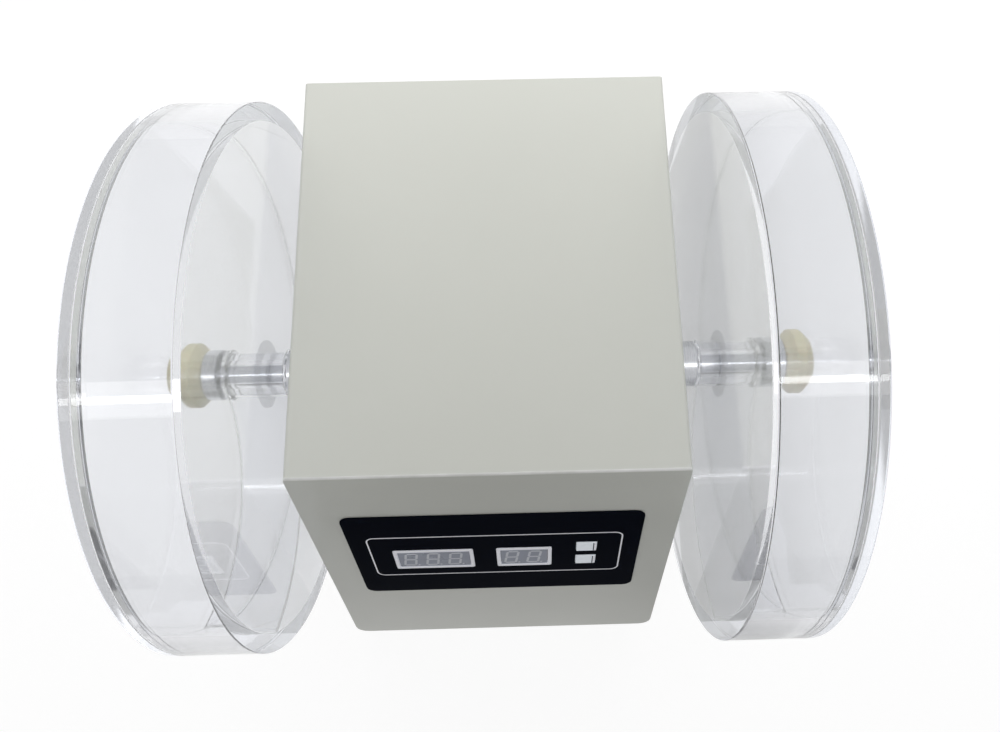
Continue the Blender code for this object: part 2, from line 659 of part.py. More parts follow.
def switch_top():
    """Top of a key switch's plunger, in the slope's frame: a pressed key's stem stops just above it."""
    return SEAT + SWITCH_HEIGHT + SWITCH_PLUNGER_RADIUS - DISPLAY_BOARD_DEPTH


def make_key(panel, name, down):
    """A key with a flange behind the sheet, which keeps it in, and a stem that reaches down to its switch."""
    flange_top = -SHEET - SEAT
    flange_low = flange_top - KEY_FLANGE_THICKNESS
    flange = (KEY_WIDTH + 2 * KEY_CLEARANCE + 2 * KEY_FLANGE, KEY_HEIGHT + 2 * KEY_CLEARANCE + 2 * KEY_FLANGE)
    top = SEAT + LABEL_THICKNESS + KEY_PROUD
    stem_low = switch_top() + SEAT + KEY_TRAVEL
    bm = bmesh.new()
    add_steps(bm, (
        (stem_low, KEY_STEM_WIDTH, KEY_STEM_WIDTH), (flange_low, KEY_STEM_WIDTH, KEY_STEM_WIDTH),
        (flange_low, *flange), (flange_top, *flange),
        (flange_top, KEY_WIDTH, KEY_HEIGHT), (top, KEY_WIDTH, KEY_HEIGHT),
    ))
    piece(name + "_key", bm, "key_plastic", panel, (KEY_X, -down, 0), smooth=False)


def make_key_switch(panel, name, down):
    low = SEAT - DISPLAY_BOARD_DEPTH
    shoulder = low + SWITCH_HEIGHT
    plunger = (2 * SWITCH_PLUNGER_RADIUS, 2 * SWITCH_PLUNGER_RADIUS)
    body = (SWITCH_WIDTH, SWITCH_WIDTH)
    levels = ((low, *body), (shoulder, *body), (shoulder, *plunger), (switch_top(), *plunger))
    bm = bmesh.new()
    add_steps(bm, levels, (KEY_X, -down))
    piece(name + "_key_switch", bm, "black_plastic", panel, smooth=False)


def make_display_board(panel):
    """The board behind the front, and the moulded frame that holds it off the sheet."""
    size = (DISPLAY_BOARD_WIDTH, DISPLAY_BOARD_HEIGHT)
    bm = bmesh.new()
    add_box(bm, (0, -DISPLAY_DOWN, -DISPLAY_BOARD_DEPTH - BOARD_THICKNESS / 2), (*size, BOARD_THICKNESS))
    piece("display_board", bm, "circuit_board", panel, smooth=False)
    near = -SHEET - SEAT
    far = SEAT - DISPLAY_BOARD_DEPTH
    bm = bmesh.new()
    add_box(bm, (0, -DISPLAY_DOWN, (near + far) / 2), (*size, near - far))
    carrier = piece("display_carrier", bm, "black_plastic", panel, smooth=False)
    bm = bmesh.new()
    add_box(bm, (0, -DISPLAY_DOWN, (near + far) / 2),
            (size[0] - 2 * CARRIER_WALL, size[1] - 2 * CARRIER_WALL, near - far + 2 * OVERRUN))
    cut(carrier, "carrier_opening", bm, panel)


def control_board_middle():
    return (CASING_X, BACK_Y - CONTROL_BOARD_AHEAD - CONTROL_BOARD_DEPTH / 2)


def make_control_board():
    """The control board behind the drive frame, on a moulded tray with four posts."""
    x, y = control_board_middle()
    low = FLOOR_Z + SEAT
    floor = low + TRAY_THICKNESS
    size = (CONTROL_BOARD_WIDTH, CONTROL_BOARD_DEPTH)
    bm = bmesh.new()
    add_box(bm, (x, y, (low + floor) / 2), (*size, TRAY_THICKNESS))
    tray = piece("board_tray", bm, "black_plastic", smooth=False)
    post = ((floor - TRAY_THICKNESS / 2, TRAY_POST_RADIUS), (floor + TRAY_POST_HEIGHT, TRAY_POST_RADIUS))
    bm = bmesh.new()
    for side in (-1, 1):
        for end in (-1, 1):
            post_x = x + side * (size[0] / 2 - TRAY_POST_INSET)
            post_y = y + end * (size[1] / 2 - TRAY_POST_INSET)
            add_turned(bm, post, SCREW_HOLE_SIDES, "Z", (post_x, post_y, 0))
    join(tray, "tray_posts", bm)
    board_low = floor + TRAY_POST_HEIGHT + SEAT
    bm = bmesh.new()
    add_box(bm, (x, y, board_low + BOARD_THICKNESS / 2), (*size, BOARD_THICKNESS))
    piece("control_board", bm, "circuit_board", smooth=False)


def transformer_place():
    """Middle of the transformer's underside, ahead of the drive frame."""
    return CASING_X, AXIS_Y - FRAME_DEPTH / 2 - TRANSFORMER_AHEAD, FLOOR_Z + SEAT


def make_transformer():
    x, y, z = transformer_place()
    bm = bmesh.new()
    add_box(bm, (x, y, z + CORE_HEIGHT / 2), (CORE_WIDTH, CORE_DEPTH, CORE_HEIGHT))
    core = piece("transformer_core", bm, "core_iron", smooth=False)
    window = (CORE_WIDTH - 4 * CORE_LIMB) / 2
    window_height = CORE_HEIGHT - 2 * CORE_LIMB
    bm = bmesh.new()
    for side in (-1, 1):
        add_box(bm, (x + side * (CORE_LIMB + window / 2), y, z + CORE_HEIGHT / 2),
                (window, CORE_DEPTH + 2 * OVERRUN, window_height))
    cut(core, "core_windows", bm)
    inner = (2 * CORE_LIMB + 2 * SEAT, CORE_DEPTH + 2 * SEAT)
    outer = (2 * CORE_LIMB + 2 * window - 2 * SEAT, CORE_DEPTH + 2 * COIL_BULGE)
    bm = bmesh.new()
    add_box(bm, (x, y, z + CORE_HEIGHT / 2), (outer[0], outer[1], window_height - 2 * SEAT))
    coil = piece("transformer_coil", bm, "copper_winding", smooth=False)
    bm = bmesh.new()
    add_box(bm, (x, y, z + CORE_HEIGHT / 2), (inner[0], inner[1], CORE_HEIGHT))
    cut(coil, "coil_window", bm)


def make_drive_frame():
    """A bent plate with two uprights, bored for the bearings; the right upright also carries the motor."""
    low = FLOOR_Z + SEAT
    high = AXIS_Z + FRAME_ABOVE_AXIS
    floor = low + FRAME_THICKNESS
    outer, inner = FRAME_OUTER_X, FRAME_INNER_X
    half_outline = [(outer, low), (outer, high), (inner, high), (inner, floor)]
    outline = [(CASING_X + x, z) for x, z in half_outline]
    outline += [(CASING_X - x, z) for x, z in reversed(half_outline)]
    bm = bmesh.new()
    add_prism(bm, outline, AXIS_Y - FRAME_DEPTH / 2, AXIS_Y + FRAME_DEPTH / 2, "Y")
    frame = piece("drive_frame", bm, "frame_steel", smooth=False)
    bm = bmesh.new()
    middle = (inner + outer) / 2
    for side in (-1, 1):
        x = CASING_X + side * middle
        add_hole(bm, (x, AXIS_Y, AXIS_Z), housing_cup_radius() + SEAT, sides=HUB_SIDES)
        for y, z in housing_screw_places():
            add_hole(bm, (x, y, z), SCREW_HOLE_RADIUS)
    add_hole(bm, (CASING_X + middle, AXIS_Y, MOTOR_Z), MOTOR_BOSS_RADIUS + SEAT, sides=HUB_SIDES)
    cut(frame, "drive_frame_holes", bm)


def housing_cup_radius():
    return BEARING_RADIUS + SEAT + HOUSING_WALL


def housing_screw_places():
    """Where a bearing housing's screws stand round the shaft: y and z."""
    places = []
    for number in range(HOUSING_SCREW_COUNT):
        angle = HOUSING_SCREW_START + math.tau * number / HOUSING_SCREW_COUNT
        y = AXIS_Y + HOUSING_SCREW_CIRCLE * math.cos(angle)
        z = AXIS_Z + HOUSING_SCREW_CIRCLE * math.sin(angle)
        places.append((y, z))
    return places


def make_bearing(name, side):
    """The flanged housing on the drive frame's upright, and the sealed bearing pressed in it."""
    inside = BEARING_RADIUS + SEAT
    outside = housing_cup_radius()
    lip = inside - HOUSING_LIP
    outer = HOUSING_X - SEAT
    inner = outer - BEARING_WIDTH
    cup = inner - SEAT
    flange = HOUSING_FLANGE_RADIUS
    profile = ((HOUSING_OUTER_X, lip), (HOUSING_OUTER_X, flange), (HOUSING_X, flange), (HOUSING_X, outside),
               (cup, outside), (cup, inside), (HOUSING_X, inside), (HOUSING_X, lip))
    centre = (CASING_X, AXIS_Y, AXIS_Z)
    bm = bmesh.new()
    add_turned(bm, [(side * x, radius) for x, radius in profile], HUB_SIDES, centre=centre, hollow=True)
    housing = piece(name + "_bearing_housing", bm, "aluminium")
    bm = bmesh.new()
    for y, z in housing_screw_places():
        add_hole(bm, (CASING_X + side * HOUSING_X, y, z), SCREW_HOLE_RADIUS)
    cut(housing, name + "_housing_holes", bm)
    bore = SHAFT_RADIUS + SEAT
    groove = [bore + share * (BEARING_RADIUS - bore) for share in BEARING_GROOVE_SHARES]
    seal = outer - BEARING_GROOVE_DEPTH
    profile = ((outer, bore), (outer, groove[0]), (seal, groove[0]), (seal, groove[1]), (outer, groove[1]),
               (outer, BEARING_RADIUS), (inner, BEARING_RADIUS), (inner, bore))
    bm = bmesh.new()
    add_turned(bm, [(side * x, radius) for x, radius in profile], HUB_SIDES, centre=centre, hollow=True)
    piece(name + "_shaft_bearing", bm, "turned_steel")


def make_main_shaft(line):
    """One shaft through casing and drums, threaded into the nut at each end."""
    left = SHAFT_LEFT_X - CASING_X
    right = SHAFT_RIGHT_X - CASING_X
    tip = SHAFT_RADIUS - SHAFT_CHAMFER
    profile = ((left, tip), (left + SHAFT_CHAMFER, SHAFT_RADIUS),
               (right - SHAFT_CHAMFER, SHAFT_RADIUS), (right, tip))
    bm = bmesh.new()
    add_turned(bm, profile, HUB_SIDES)
    piece("main_shaft", bm, "turned_steel", line)


def make_stop_ring(line, name, side):
    """A ring on the shaft inside a bearing, which keeps the shaft from sliding."""
    bore = SHAFT_RADIUS + SEAT
    outer = HOUSING_X - SEAT - BEARING_WIDTH - SEAT
    inner = outer - STOP_RING_WIDTH
    profile = ((outer, bore), (outer, STOP_RING_RADIUS), (inner, STOP_RING_RADIUS), (inner, bore))
    bm = bmesh.new()
    add_turned(bm, [(side * x, radius) for x, radius in profile], HUB_SIDES, hollow=True)
    piece(name + "_stop_ring", bm, "turned_steel", line)


def make_drive_collar(line, name, side, gap):
    """The collar between casing and drum; its two pins enter the drum's wall and turn it."""
    inner = CASING_HALF + COLLAR_CASING_CLEARANCE
    outer = CASING_HALF + gap - SEAT
    bore = SHAFT_RADIUS + SEAT
    profile = ((inner, bore), (inner, COLLAR_RADIUS), (outer, COLLAR_RADIUS), (outer, bore))
    bm = bmesh.new()
    add_turned(bm, [(side * x, radius) for x, radius in profile], HUB_SIDES, hollow=True)
    collar = piece(name + "_drive_collar", bm, "aluminium", line)
    root = side * (inner + outer) / 2
    tip = side * (outer + SEAT + COLLAR_PIN_REACH)
    bm = bmesh.new()
    for way in (-1, 1):
        add_turned(bm, ((root, COLLAR_PIN_RADIUS), (tip, COLLAR_PIN_RADIUS)), SCREW_HOLE_SIDES,
                   centre=(0, 0, way * COLLAR_PIN_CIRCLE))
    join(collar, name + "_collar_pins", bm, line)


def gear_outline(teeth, middle_angle):
    """A spur gear's outline with involute flanks, one tooth centred at middle_angle."""
    pitch = GEAR_MODULE * teeth / 2
    base = pitch * math.cos(PRESSURE_ANGLE)
    tip = pitch + GEAR_MODULE
    root = pitch - DEDENDUM_SHARE * GEAR_MODULE
    half_tooth = (math.pi * GEAR_MODULE - TOOTH_THINNING) / 2 / (2 * pitch)
    rise = math.tan(PRESSURE_ANGLE) - PRESSURE_ANGLE
    flank = []
    low = max(base, root)
    for step in range(FLANK_STEPS + 1):
        radius = low + (tip - low) * step / FLANK_STEPS
        roll = math.acos(min(1.0, base / radius))
        flank.append((radius, half_tooth + rise - (math.tan(roll) - roll)))
    if root < base:
        flank.insert(0, (root, flank[0][1]))
    outline = []
    for tooth in range(teeth):
        centre = middle_angle + math.tau * tooth / teeth
        for radius, angle in flank:
            outline.append((radius * math.cos(centre - angle), radius * math.sin(centre - angle)))
        for radius, angle in reversed(flank):
            outline.append((radius * math.cos(centre + angle), radius * math.sin(centre + angle)))
    return outline


def gear_near_x():
    """Inner face of both gears, from the casing's middle."""
    return HOUSING_OUTER_X + GEAR_PLACE


def make_drive_gear(line):
    """The shaft's gear. A gap between its teeth points down, where the pinion's tooth enters."""
    near = gear_near_x()
    far = near + GEAR_WIDTH
    down = -math.radians(90) + math.pi / GEAR_TEETH
    bore = SHAFT_RADIUS + SEAT
    bm = bmesh.new()
    add_prism(bm, gear_outline(GEAR_TEETH, down), near, far, "X")
    gear = piece("drive_gear", bm, "brass", line, smooth=False)
    bm = bmesh.new()
    hub_far = far + GEAR_HUB_LENGTH
    add_turned(bm, ((near + GEAR_WIDTH / 2, GEAR_HUB_RADIUS), (hub_far, GEAR_HUB_RADIUS)), HUB_SIDES)
    join(gear, "gear_hub", bm, line)
    bm = bmesh.new()
    add_turned(bm, ((near - OVERRUN, bore), (hub_far + OVERRUN, bore)), HUB_SIDES)
    cut(gear, "gear_bore", bm, line)


def make_pinion(line):
    """The motor's pinion and shaft, which turn about their own line."""
    near = gear_near_x()
    far = near + GEAR_WIDTH
    bore = MOTOR_SHAFT_RADIUS + SEAT
    bm = bmesh.new()
    add_prism(bm, gear_outline(PINION_TEETH, math.radians(90)), near, far, "X")
    pinion = piece("motor_pinion", bm, "turned_steel", line, smooth=False)
    bm = bmesh.new()
    add_turned(bm, ((near - OVERRUN, bore), (far + OVERRUN, bore)), HUB_SIDES // 2)
    cut(pinion, "pinion_bore", bm, line)
    root = FRAME_INNER_X - GEARBOX_BORE_DEPTH
    bm = bmesh.new()
    add_turned(bm, ((root, MOTOR_SHAFT_RADIUS), (far + SHAFT_CHAMFER, MOTOR_SHAFT_RADIUS)), HUB_SIDES // 2)
    piece("motor_shaft", bm, "turned_steel", line)


def make_motor():
    """Gearbox screwed to the right upright, with the motor on its inner end."""
    face = FRAME_INNER_X - SEAT
    bore = MOTOR_SHAFT_RADIUS + SEAT
    boss = face + MOTOR_BOSS_LENGTH
    profile = ((face - GEARBOX_LENGTH, GEARBOX_RADIUS), (face, GEARBOX_RADIUS), (face, MOTOR_BOSS_RADIUS),
               (boss, MOTOR_BOSS_RADIUS), (boss, bore), (face - GEARBOX_BORE_DEPTH, bore))
    centre = (CASING_X, AXIS_Y, MOTOR_Z)
    bm = bmesh.new()
    add_turned(bm, profile, HUB_SIDES, centre=centre)
    piece("motor_gearbox", bm, "frame_steel")
    near = face - GEARBOX_LENGTH - SEAT
    far = near - MOTOR_LENGTH
    profile = ((far, MOTOR_RADIUS - MOTOR_CHAMFER), (far + MOTOR_CHAMFER, MOTOR_RADIUS), (near, MOTOR_RADIUS))
    bm = bmesh.new()
    add_turned(bm, profile, HUB_SIDES, centre=centre)
    piece("motor_can", bm, "turned_steel")


def sensor_disc_middle():
    return HOUSING_OUTER_X + SENSOR_DISC_PLACE + SENSOR_DISC_THICKNESS / 2


def make_sensor_disc(line):
    """A notched disc on the shaft's left end, which the sensor counts."""
    middle = -sensor_disc_middle()
    half = SENSOR_DISC_THICKNESS / 2
    root = SENSOR_DISC_RADIUS - SENSOR_NOTCH_DEPTH
    outline = []
    for notch in range(SENSOR_NOTCH_COUNT):
        for share, radius in zip(SENSOR_NOTCH_SHARES, (SENSOR_DISC_RADIUS, SENSOR_DISC_RADIUS, root, root)):
            angle = math.tau * (notch + share) / SENSOR_NOTCH_COUNT
            outline.append((radius * math.cos(angle), radius * math.sin(angle)))
    bore = SHAFT_RADIUS + SEAT
    bm = bmesh.new()
    add_prism(bm, outline, middle - half, middle + half, "X")
    disc = piece("sensor_disc", bm, "black_plastic", line, smooth=False)
    bm = bmesh.new()
    add_turned(bm, ((middle - SENSOR_HUB_LENGTH, SENSOR_HUB_RADIUS), (middle, SENSOR_HUB_RADIUS)), HUB_SIDES)
    join(disc, "sensor_hub", bm, line)
    bm = bmesh.new()
    add_turned(bm, ((middle - SENSOR_HUB_LENGTH - OVERRUN, bore), (middle + OVERRUN, bore)), HUB_SIDES)
    cut(disc, "sensor_bore", bm, line)


def make_optical_sensor():
    """A fork over the disc's rim, on the outer face of the left upright."""
    middle = CASING_X - sensor_disc_middle()
    near = CASING_X - FRAME_OUTER_X - SEAT
    inner_leg = middle + SENSOR_GAP / 2
    outer_leg = middle - SENSOR_GAP / 2
    far = outer_leg - SENSOR_LEG
    mouth = AXIS_Y + SENSOR_MOUTH
    floor = AXIS_Y + SENSOR_DISC_RADIUS + SENSOR_FLOOR_CLEARANCE
    back = floor + SENSOR_BRIDGE
    outline = [(near, mouth), (near, back), (far, back), (far, mouth), (outer_leg, mouth), (outer_leg, floor),
               (inner_leg, floor), (inner_leg, mouth)]
    bm = bmesh.new()
    add_prism(bm, outline, AXIS_Z - SENSOR_HEIGHT / 2, AXIS_Z + SENSOR_HEIGHT / 2, "Z")
    piece("optical_sensor", bm, "black_plastic", smooth=False)


def make_mains_inlet():
    """A socket with three pins, whose flange lies on the rear panel."""
    x = CASING_X + INLET_X
    z = BOTTOM_Z + FITTINGS_HEIGHT
    face = REAR_FACE_Y + SEAT
    outer = face + INLET_FLANGE_THICKNESS
    far = face - INLET_DEPTH
    bottom = far + INLET_FLOOR
    lip = face + INLET_FLANGE_THICKNESS / 2
    bm = bmesh.new()
    flange = rounded_rectangle(INLET_WIDTH + 2 * INLET_FLANGE, INLET_HEIGHT + 2 * INLET_FLANGE,
                               (INLET_FLANGE / 2,) * 4, (x, z))
    add_prism(bm, flange, face, outer, "Y")
    inlet = piece("mains_inlet", bm, "black_plastic", smooth=False)
    bm = bmesh.new()
    add_box(bm, (x, (far + lip) / 2, z), (INLET_WIDTH, lip - far, INLET_HEIGHT))
    join(inlet, "inlet_body", bm)
    bm = bmesh.new()
    add_box(bm, (x, (bottom + outer + OVERRUN) / 2, z),
            (INLET_WIDTH - 2 * INLET_WALL, outer + OVERRUN - bottom, INLET_HEIGHT - 2 * INLET_WALL))
    cut(inlet, "inlet_cavity", bm)
    bm = bmesh.new()
    root = bottom - INLET_FLOOR / 2
    tip = bottom + INLET_PIN_LENGTH
    for number, rise in ((-1, 0), (0, INLET_PIN_RISE), (1, 0)):
        add_box(bm, (x + number * INLET_PIN_PITCH, (root + tip) / 2, z + rise),
                (INLET_PIN_WIDTH, tip - root, INLET_PIN_HEIGHT))
    join(inlet, "inlet_pins", bm)


def make_fuse_holder():
    """A round fuse holder with a wider cap, on the rear panel."""
    profile = ((FUSE_CAP_HEIGHT, FUSE_CAP_FACE_RADIUS), (FUSE_CAP_HEIGHT / 2, FUSE_CAP_RADIUS),
               (0, FUSE_CAP_RADIUS), (0, FUSE_RADIUS), (-FUSE_DEPTH, FUSE_RADIUS))
    where = (CASING_X + FUSE_X, REAR_FACE_Y + SEAT, BOTTOM_Z + FITTINGS_HEIGHT)
    bm = bmesh.new()
    add_turned(bm, profile, HUB_SIDES, "Y")
    piece("fuse_holder", bm, "black_plastic", location=where)


def make_power_switch():
    """A switch body open to the rear, and the rocker that tilts in it about a level pivot."""
    x = CASING_X + POWER_SWITCH_X
    z = BOTTOM_Z + FITTINGS_HEIGHT
    face = REAR_FACE_Y + SEAT
    outer = face + POWER_SWITCH_FLANGE_THICKNESS
    far = face - POWER_SWITCH_DEPTH
    bottom = far + POWER_SWITCH_FLOOR
    lip = face + POWER_SWITCH_FLANGE_THICKNESS / 2
    bm = bmesh.new()
    add_box(bm, (x, (face + outer) / 2, z), (POWER_SWITCH_WIDTH + 2 * POWER_SWITCH_FLANGE,
            POWER_SWITCH_FLANGE_THICKNESS, POWER_SWITCH_HEIGHT + 2 * POWER_SWITCH_FLANGE))
    body = piece("power_switch_body", bm, "black_plastic", smooth=False)
    bm = bmesh.new()
    add_box(bm, (x, (far + lip) / 2, z), (POWER_SWITCH_WIDTH, lip - far, POWER_SWITCH_HEIGHT))
    join(body, "switch_box", bm)
    cavity = (POWER_SWITCH_WIDTH - 2 * POWER_SWITCH_WALL, POWER_SWITCH_HEIGHT - 2 * POWER_SWITCH_WALL)
    bm = bmesh.new()
    add_box(bm, (x, (bottom + outer + OVERRUN) / 2, z), (cavity[0], outer + OVERRUN - bottom, cavity[1]))
    cut(body, "switch_cavity", bm)
    pivot = empty("rocker_pivot", (x, outer - ROCKER_PIVOT_DEPTH, z), ROCKER_TILT)
    reach = cavity[1] / 2 - ROCKER_CLEARANCE
    half_width = cavity[0] / 2 - SEAT
    end = ROCKER_PIVOT_DEPTH - reach * math.tan(ROCKER_TILT)
    back = -ROCKER_THICKNESS / 2
    outline = [(back, -reach), (end, -reach), (ROCKER_RISE / 2, 0), (end, reach), (back, reach)]
    bm = bmesh.new()
    add_prism(bm, outline, -half_width, half_width, "X")
    piece("power_switch_rocker", bm, "black_plastic", pivot, smooth=False)


def add_clear_ring(line, name, side, ends, radii, sides):
    """A clear ring or tube about the shaft's axis, by its two end places and its inner and outer radius."""
    (near, far), (inner, outer) = ends, radii
    profile = ((near, inner), (near, outer), (far, outer), (far, inner))
    bm = bmesh.new()
    add_turned(bm, [(side * x, radius) for x, radius in profile], sides, hollow=True)
    return piece(name, bm, "clear_acrylic", line)


def make_drum(line, name, side, gap):
    """The part of a drum that stays together: wall, ring, hub tube, hub flange and vane."""
    near = CASING_HALF + gap
    wall_far = near + DRUM_WALL_THICKNESS
    ring_near = wall_far + SEAT
    ring_far = ring_near + DRUM_RING_LENGTH
    cover_clear = ring_far - COVER_SPIGOT - SEAT
    flange_near = wall_far + HUB_FLANGE_DEPTH
    flange_far = flange_near + HUB_FLANGE_THICKNESS
    rim = (DRUM_BORE_RADIUS, DRUM_RADIUS)
    tube = (HUB_BORE_RADIUS, HUB_TUBE_RADIUS)
    wall = (HUB_BORE_RADIUS, DRUM_RADIUS)
    disc = (HUB_TUBE_RADIUS + SEAT, HUB_FLANGE_RADIUS)
    add_clear_ring(line, name + "_drum_ring", side, (ring_near, ring_far), rim, DRUM_SIDES)
    add_clear_ring(line, name + "_hub_tube", side, (ring_near, cover_clear), tube, HUB_SIDES)
    drum_wall = add_clear_ring(line, name + "_drum_wall", side, (near, wall_far), wall, DRUM_SIDES)
    bm = bmesh.new()
    for way in (-1, 1):
        middle = (side * (near + wall_far) / 2, 0, way * COLLAR_PIN_CIRCLE)
        add_hole(bm, middle, COLLAR_PIN_RADIUS + PIN_HOLE_CLEARANCE)
    cut(drum_wall, name + "_wall_pin_holes", bm, line)
    flange = add_clear_ring(line, name + "_hub_flange", side, (flange_near, flange_far), disc, HUB_SIDES)
    bm = bmesh.new()
    add_prism(bm, vane_outline(SEAT), side * (flange_near - OVERRUN), side * (flange_far + OVERRUN), "X")
    cut(flange, name + "_flange_slot", bm, line)
    bm = bmesh.new()
    add_prism(bm, vane_outline(0), side * ring_near, side * cover_clear, "X")
    piece(name + "_drum_vane", bm, "clear_acrylic", line)


def vane_outline(margin):
    """The curved vane across the shaft: two arcs from the hub tube to the ring, margin wider on each side."""
    near = HUB_TUBE_RADIUS + SEAT
    far = DRUM_BORE_RADIUS - SEAT
    middle = (near + far) / 2
    half_chord = (far - near) / 2
    vane_radius = half_chord + VANE_RADIUS_OVER_HALF_CHORD
    depth = math.sqrt(vane_radius ** 2 - half_chord ** 2)
    distance = math.hypot(middle, depth)
    lean = math.atan2(depth, middle)
    arcs = []
    for radius in (vane_radius - margin, vane_radius + VANE_THICKNESS + margin):
        first, last = (lean + math.asin((reach ** 2 - distance ** 2 - radius ** 2) / (2 * radius * distance))
                       for reach in (near - 2 * margin, far))
        angles = [first + (last - first) * step / VANE_STEPS for step in range(VANE_STEPS + 1)]
        arcs.append([Vector((middle + radius * math.sin(angle), radius * math.cos(angle) - depth))
                     for angle in angles])
    return [Matrix.Rotation(VANE_TURN, 2) @ point for point in arcs[0] + arcs[1][::-1]]


def make_cover(line, name, side, gap):
    """The removable cover, with a spigot that centres it in the ring."""
    near = CASING_HALF + gap + DRUM_LENGTH - COVER_THICKNESS
    far = near + COVER_THICKNESS
    ring_far = near - SEAT
    spigot = DRUM_BORE_RADIUS - SEAT
    profile = ((ring_far - COVER_SPIGOT, HUB_BORE_RADIUS), (ring_far - COVER_SPIGOT, spigot), (near, spigot),
               (near, DRUM_RADIUS), (far, DRUM_RADIUS), (far, HUB_BORE_RADIUS))
    bm = bmesh.new()
    add_turned(bm, [(side * x, radius) for x, radius in profile], DRUM_SIDES, hollow=True)
    piece(name + "_drum_cover", bm, "clear_acrylic", line)


def make_clamp(line, name, side, gap):
    """The washer on the cover, and the nut on the shaft's end."""
    near = CASING_HALF + gap + DRUM_LENGTH + SEAT
    far = near + WASHER_LENGTH
    rim = WASHER_RADIUS - WASHER_CHAMFER
    chamfer_near, chamfer_far = near + WASHER_CHAMFER, far - WASHER_CHAMFER
    profile = ((near, HUB_BORE_RADIUS), (near, rim), (chamfer_near, WASHER_RADIUS),
               (chamfer_far, WASHER_RADIUS), (far, rim), (far, HUB_BORE_RADIUS))
    bm = bmesh.new()
    add_turned(bm, [(side * x, radius) for x, radius in profile], HUB_SIDES, hollow=True)
    piece(name + "_clamp_washer", bm, "aluminium", line)
    start = far + SEAT
    end = start + NUT_LENGTH
    bore = SHAFT_RADIUS + SEAT
    rim = NUT_RADIUS - NUT_CHAMFER
    profile = ((start + NUT_BORE_DEPTH, bore), (start, bore), (start, rim), (start + NUT_CHAMFER, NUT_RADIUS),
               (end - NUT_CHAMFER, NUT_RADIUS), (end, rim))
    bm = bmesh.new()
    add_turned(bm, [(side * x, radius) for x, radius in profile], HUB_SIDES)
    piece(name + "_clamp_nut", bm, "cream_nylon", line)


def make_front_panel(shell):
    """The front's pieces, in the slope's own frame: X across, Y up the slope, Z outwards."""
    panel = empty("front_panel_frame", (CASING_X, FRONT_TOP_Y, TOP_Z), SLOPE_TURN)
    bm = bmesh.new()
    add_front_openings(bm)
    cut(shell, "front_openings", bm, panel)
    make_front_label(panel)
    for name, x, width in display_sites():
        make_bezel(panel, name, x, width)
        make_display(panel, name, x, width)
    for name, down in key_sites():
        make_key(panel, name, down)
        make_key_switch(panel, name, down)
    make_display_board(panel)


def make_shaft_line():
    """Everything that turns on the main shaft's axis."""
    line = empty("shaft_line", (CASING_X, AXIS_Y, AXIS_Z))
    make_main_shaft(line)
    make_drive_gear(line)
    make_sensor_disc(line)
    for name, side, gap in SIDES:
        make_stop_ring(line, name, side)
        make_drive_collar(line, name, side, gap)
        make_drum(line, name, side, gap)
        make_cover(line, name, side, gap)
        make_clamp(line, name, side, gap)


def main():
    clear_scene()
    shell = make_casing_shell()
    make_rear_panel()
    make_base_plate()
    make_rubber_feet()
    make_front_panel(shell)
    make_drive_frame()
    for name, side, gap in SIDES:
        make_bearing(name, side)
    make_shaft_line()
    make_pinion(empty("pinion_line", (CASING_X, AXIS_Y, MOTOR_Z)))
    make_motor()
    make_optical_sensor()
    make_control_board()
    make_transformer()
    make_mains_inlet()
    make_fuse_holder()
    make_power_switch()


main()
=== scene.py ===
"""The looks of a tablet friability tester: drums, casing, front panel, fittings, light and camera.

Metres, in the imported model's frame: +X along the shaft, +Y to the rear, +Z up.
"""
import json
import math

import bmesh
import bpy
import numpy as np
from bpy.props import FloatProperty, FloatVectorProperty, IntProperty, PointerProperty
from mathutils import Matrix, Vector


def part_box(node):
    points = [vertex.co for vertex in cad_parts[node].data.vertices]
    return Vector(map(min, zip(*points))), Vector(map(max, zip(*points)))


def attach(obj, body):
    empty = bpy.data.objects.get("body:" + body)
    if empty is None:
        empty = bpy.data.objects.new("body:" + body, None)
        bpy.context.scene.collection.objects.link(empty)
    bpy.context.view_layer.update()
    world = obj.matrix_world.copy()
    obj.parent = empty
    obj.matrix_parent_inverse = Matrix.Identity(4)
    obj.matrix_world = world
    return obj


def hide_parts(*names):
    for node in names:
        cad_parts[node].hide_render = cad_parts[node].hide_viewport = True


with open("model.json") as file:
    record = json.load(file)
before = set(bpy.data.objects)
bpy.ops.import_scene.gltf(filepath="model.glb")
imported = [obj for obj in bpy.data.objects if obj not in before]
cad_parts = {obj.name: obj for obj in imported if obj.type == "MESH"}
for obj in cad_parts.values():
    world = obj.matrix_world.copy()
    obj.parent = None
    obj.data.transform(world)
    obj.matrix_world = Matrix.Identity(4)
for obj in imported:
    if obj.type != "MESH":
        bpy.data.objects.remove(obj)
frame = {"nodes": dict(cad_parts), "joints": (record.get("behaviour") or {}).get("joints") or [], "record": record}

bl_info = {
    "name": "Tablet friability tester looks",
    "version": (1, 0, 0),
    "blender": (4, 5, 0),
    "location": "View3D > Sidebar > Tester",
    "description": "Builds the visible surfaces of a tablet friability tester round its packed frame",
    "category": "Object",
}

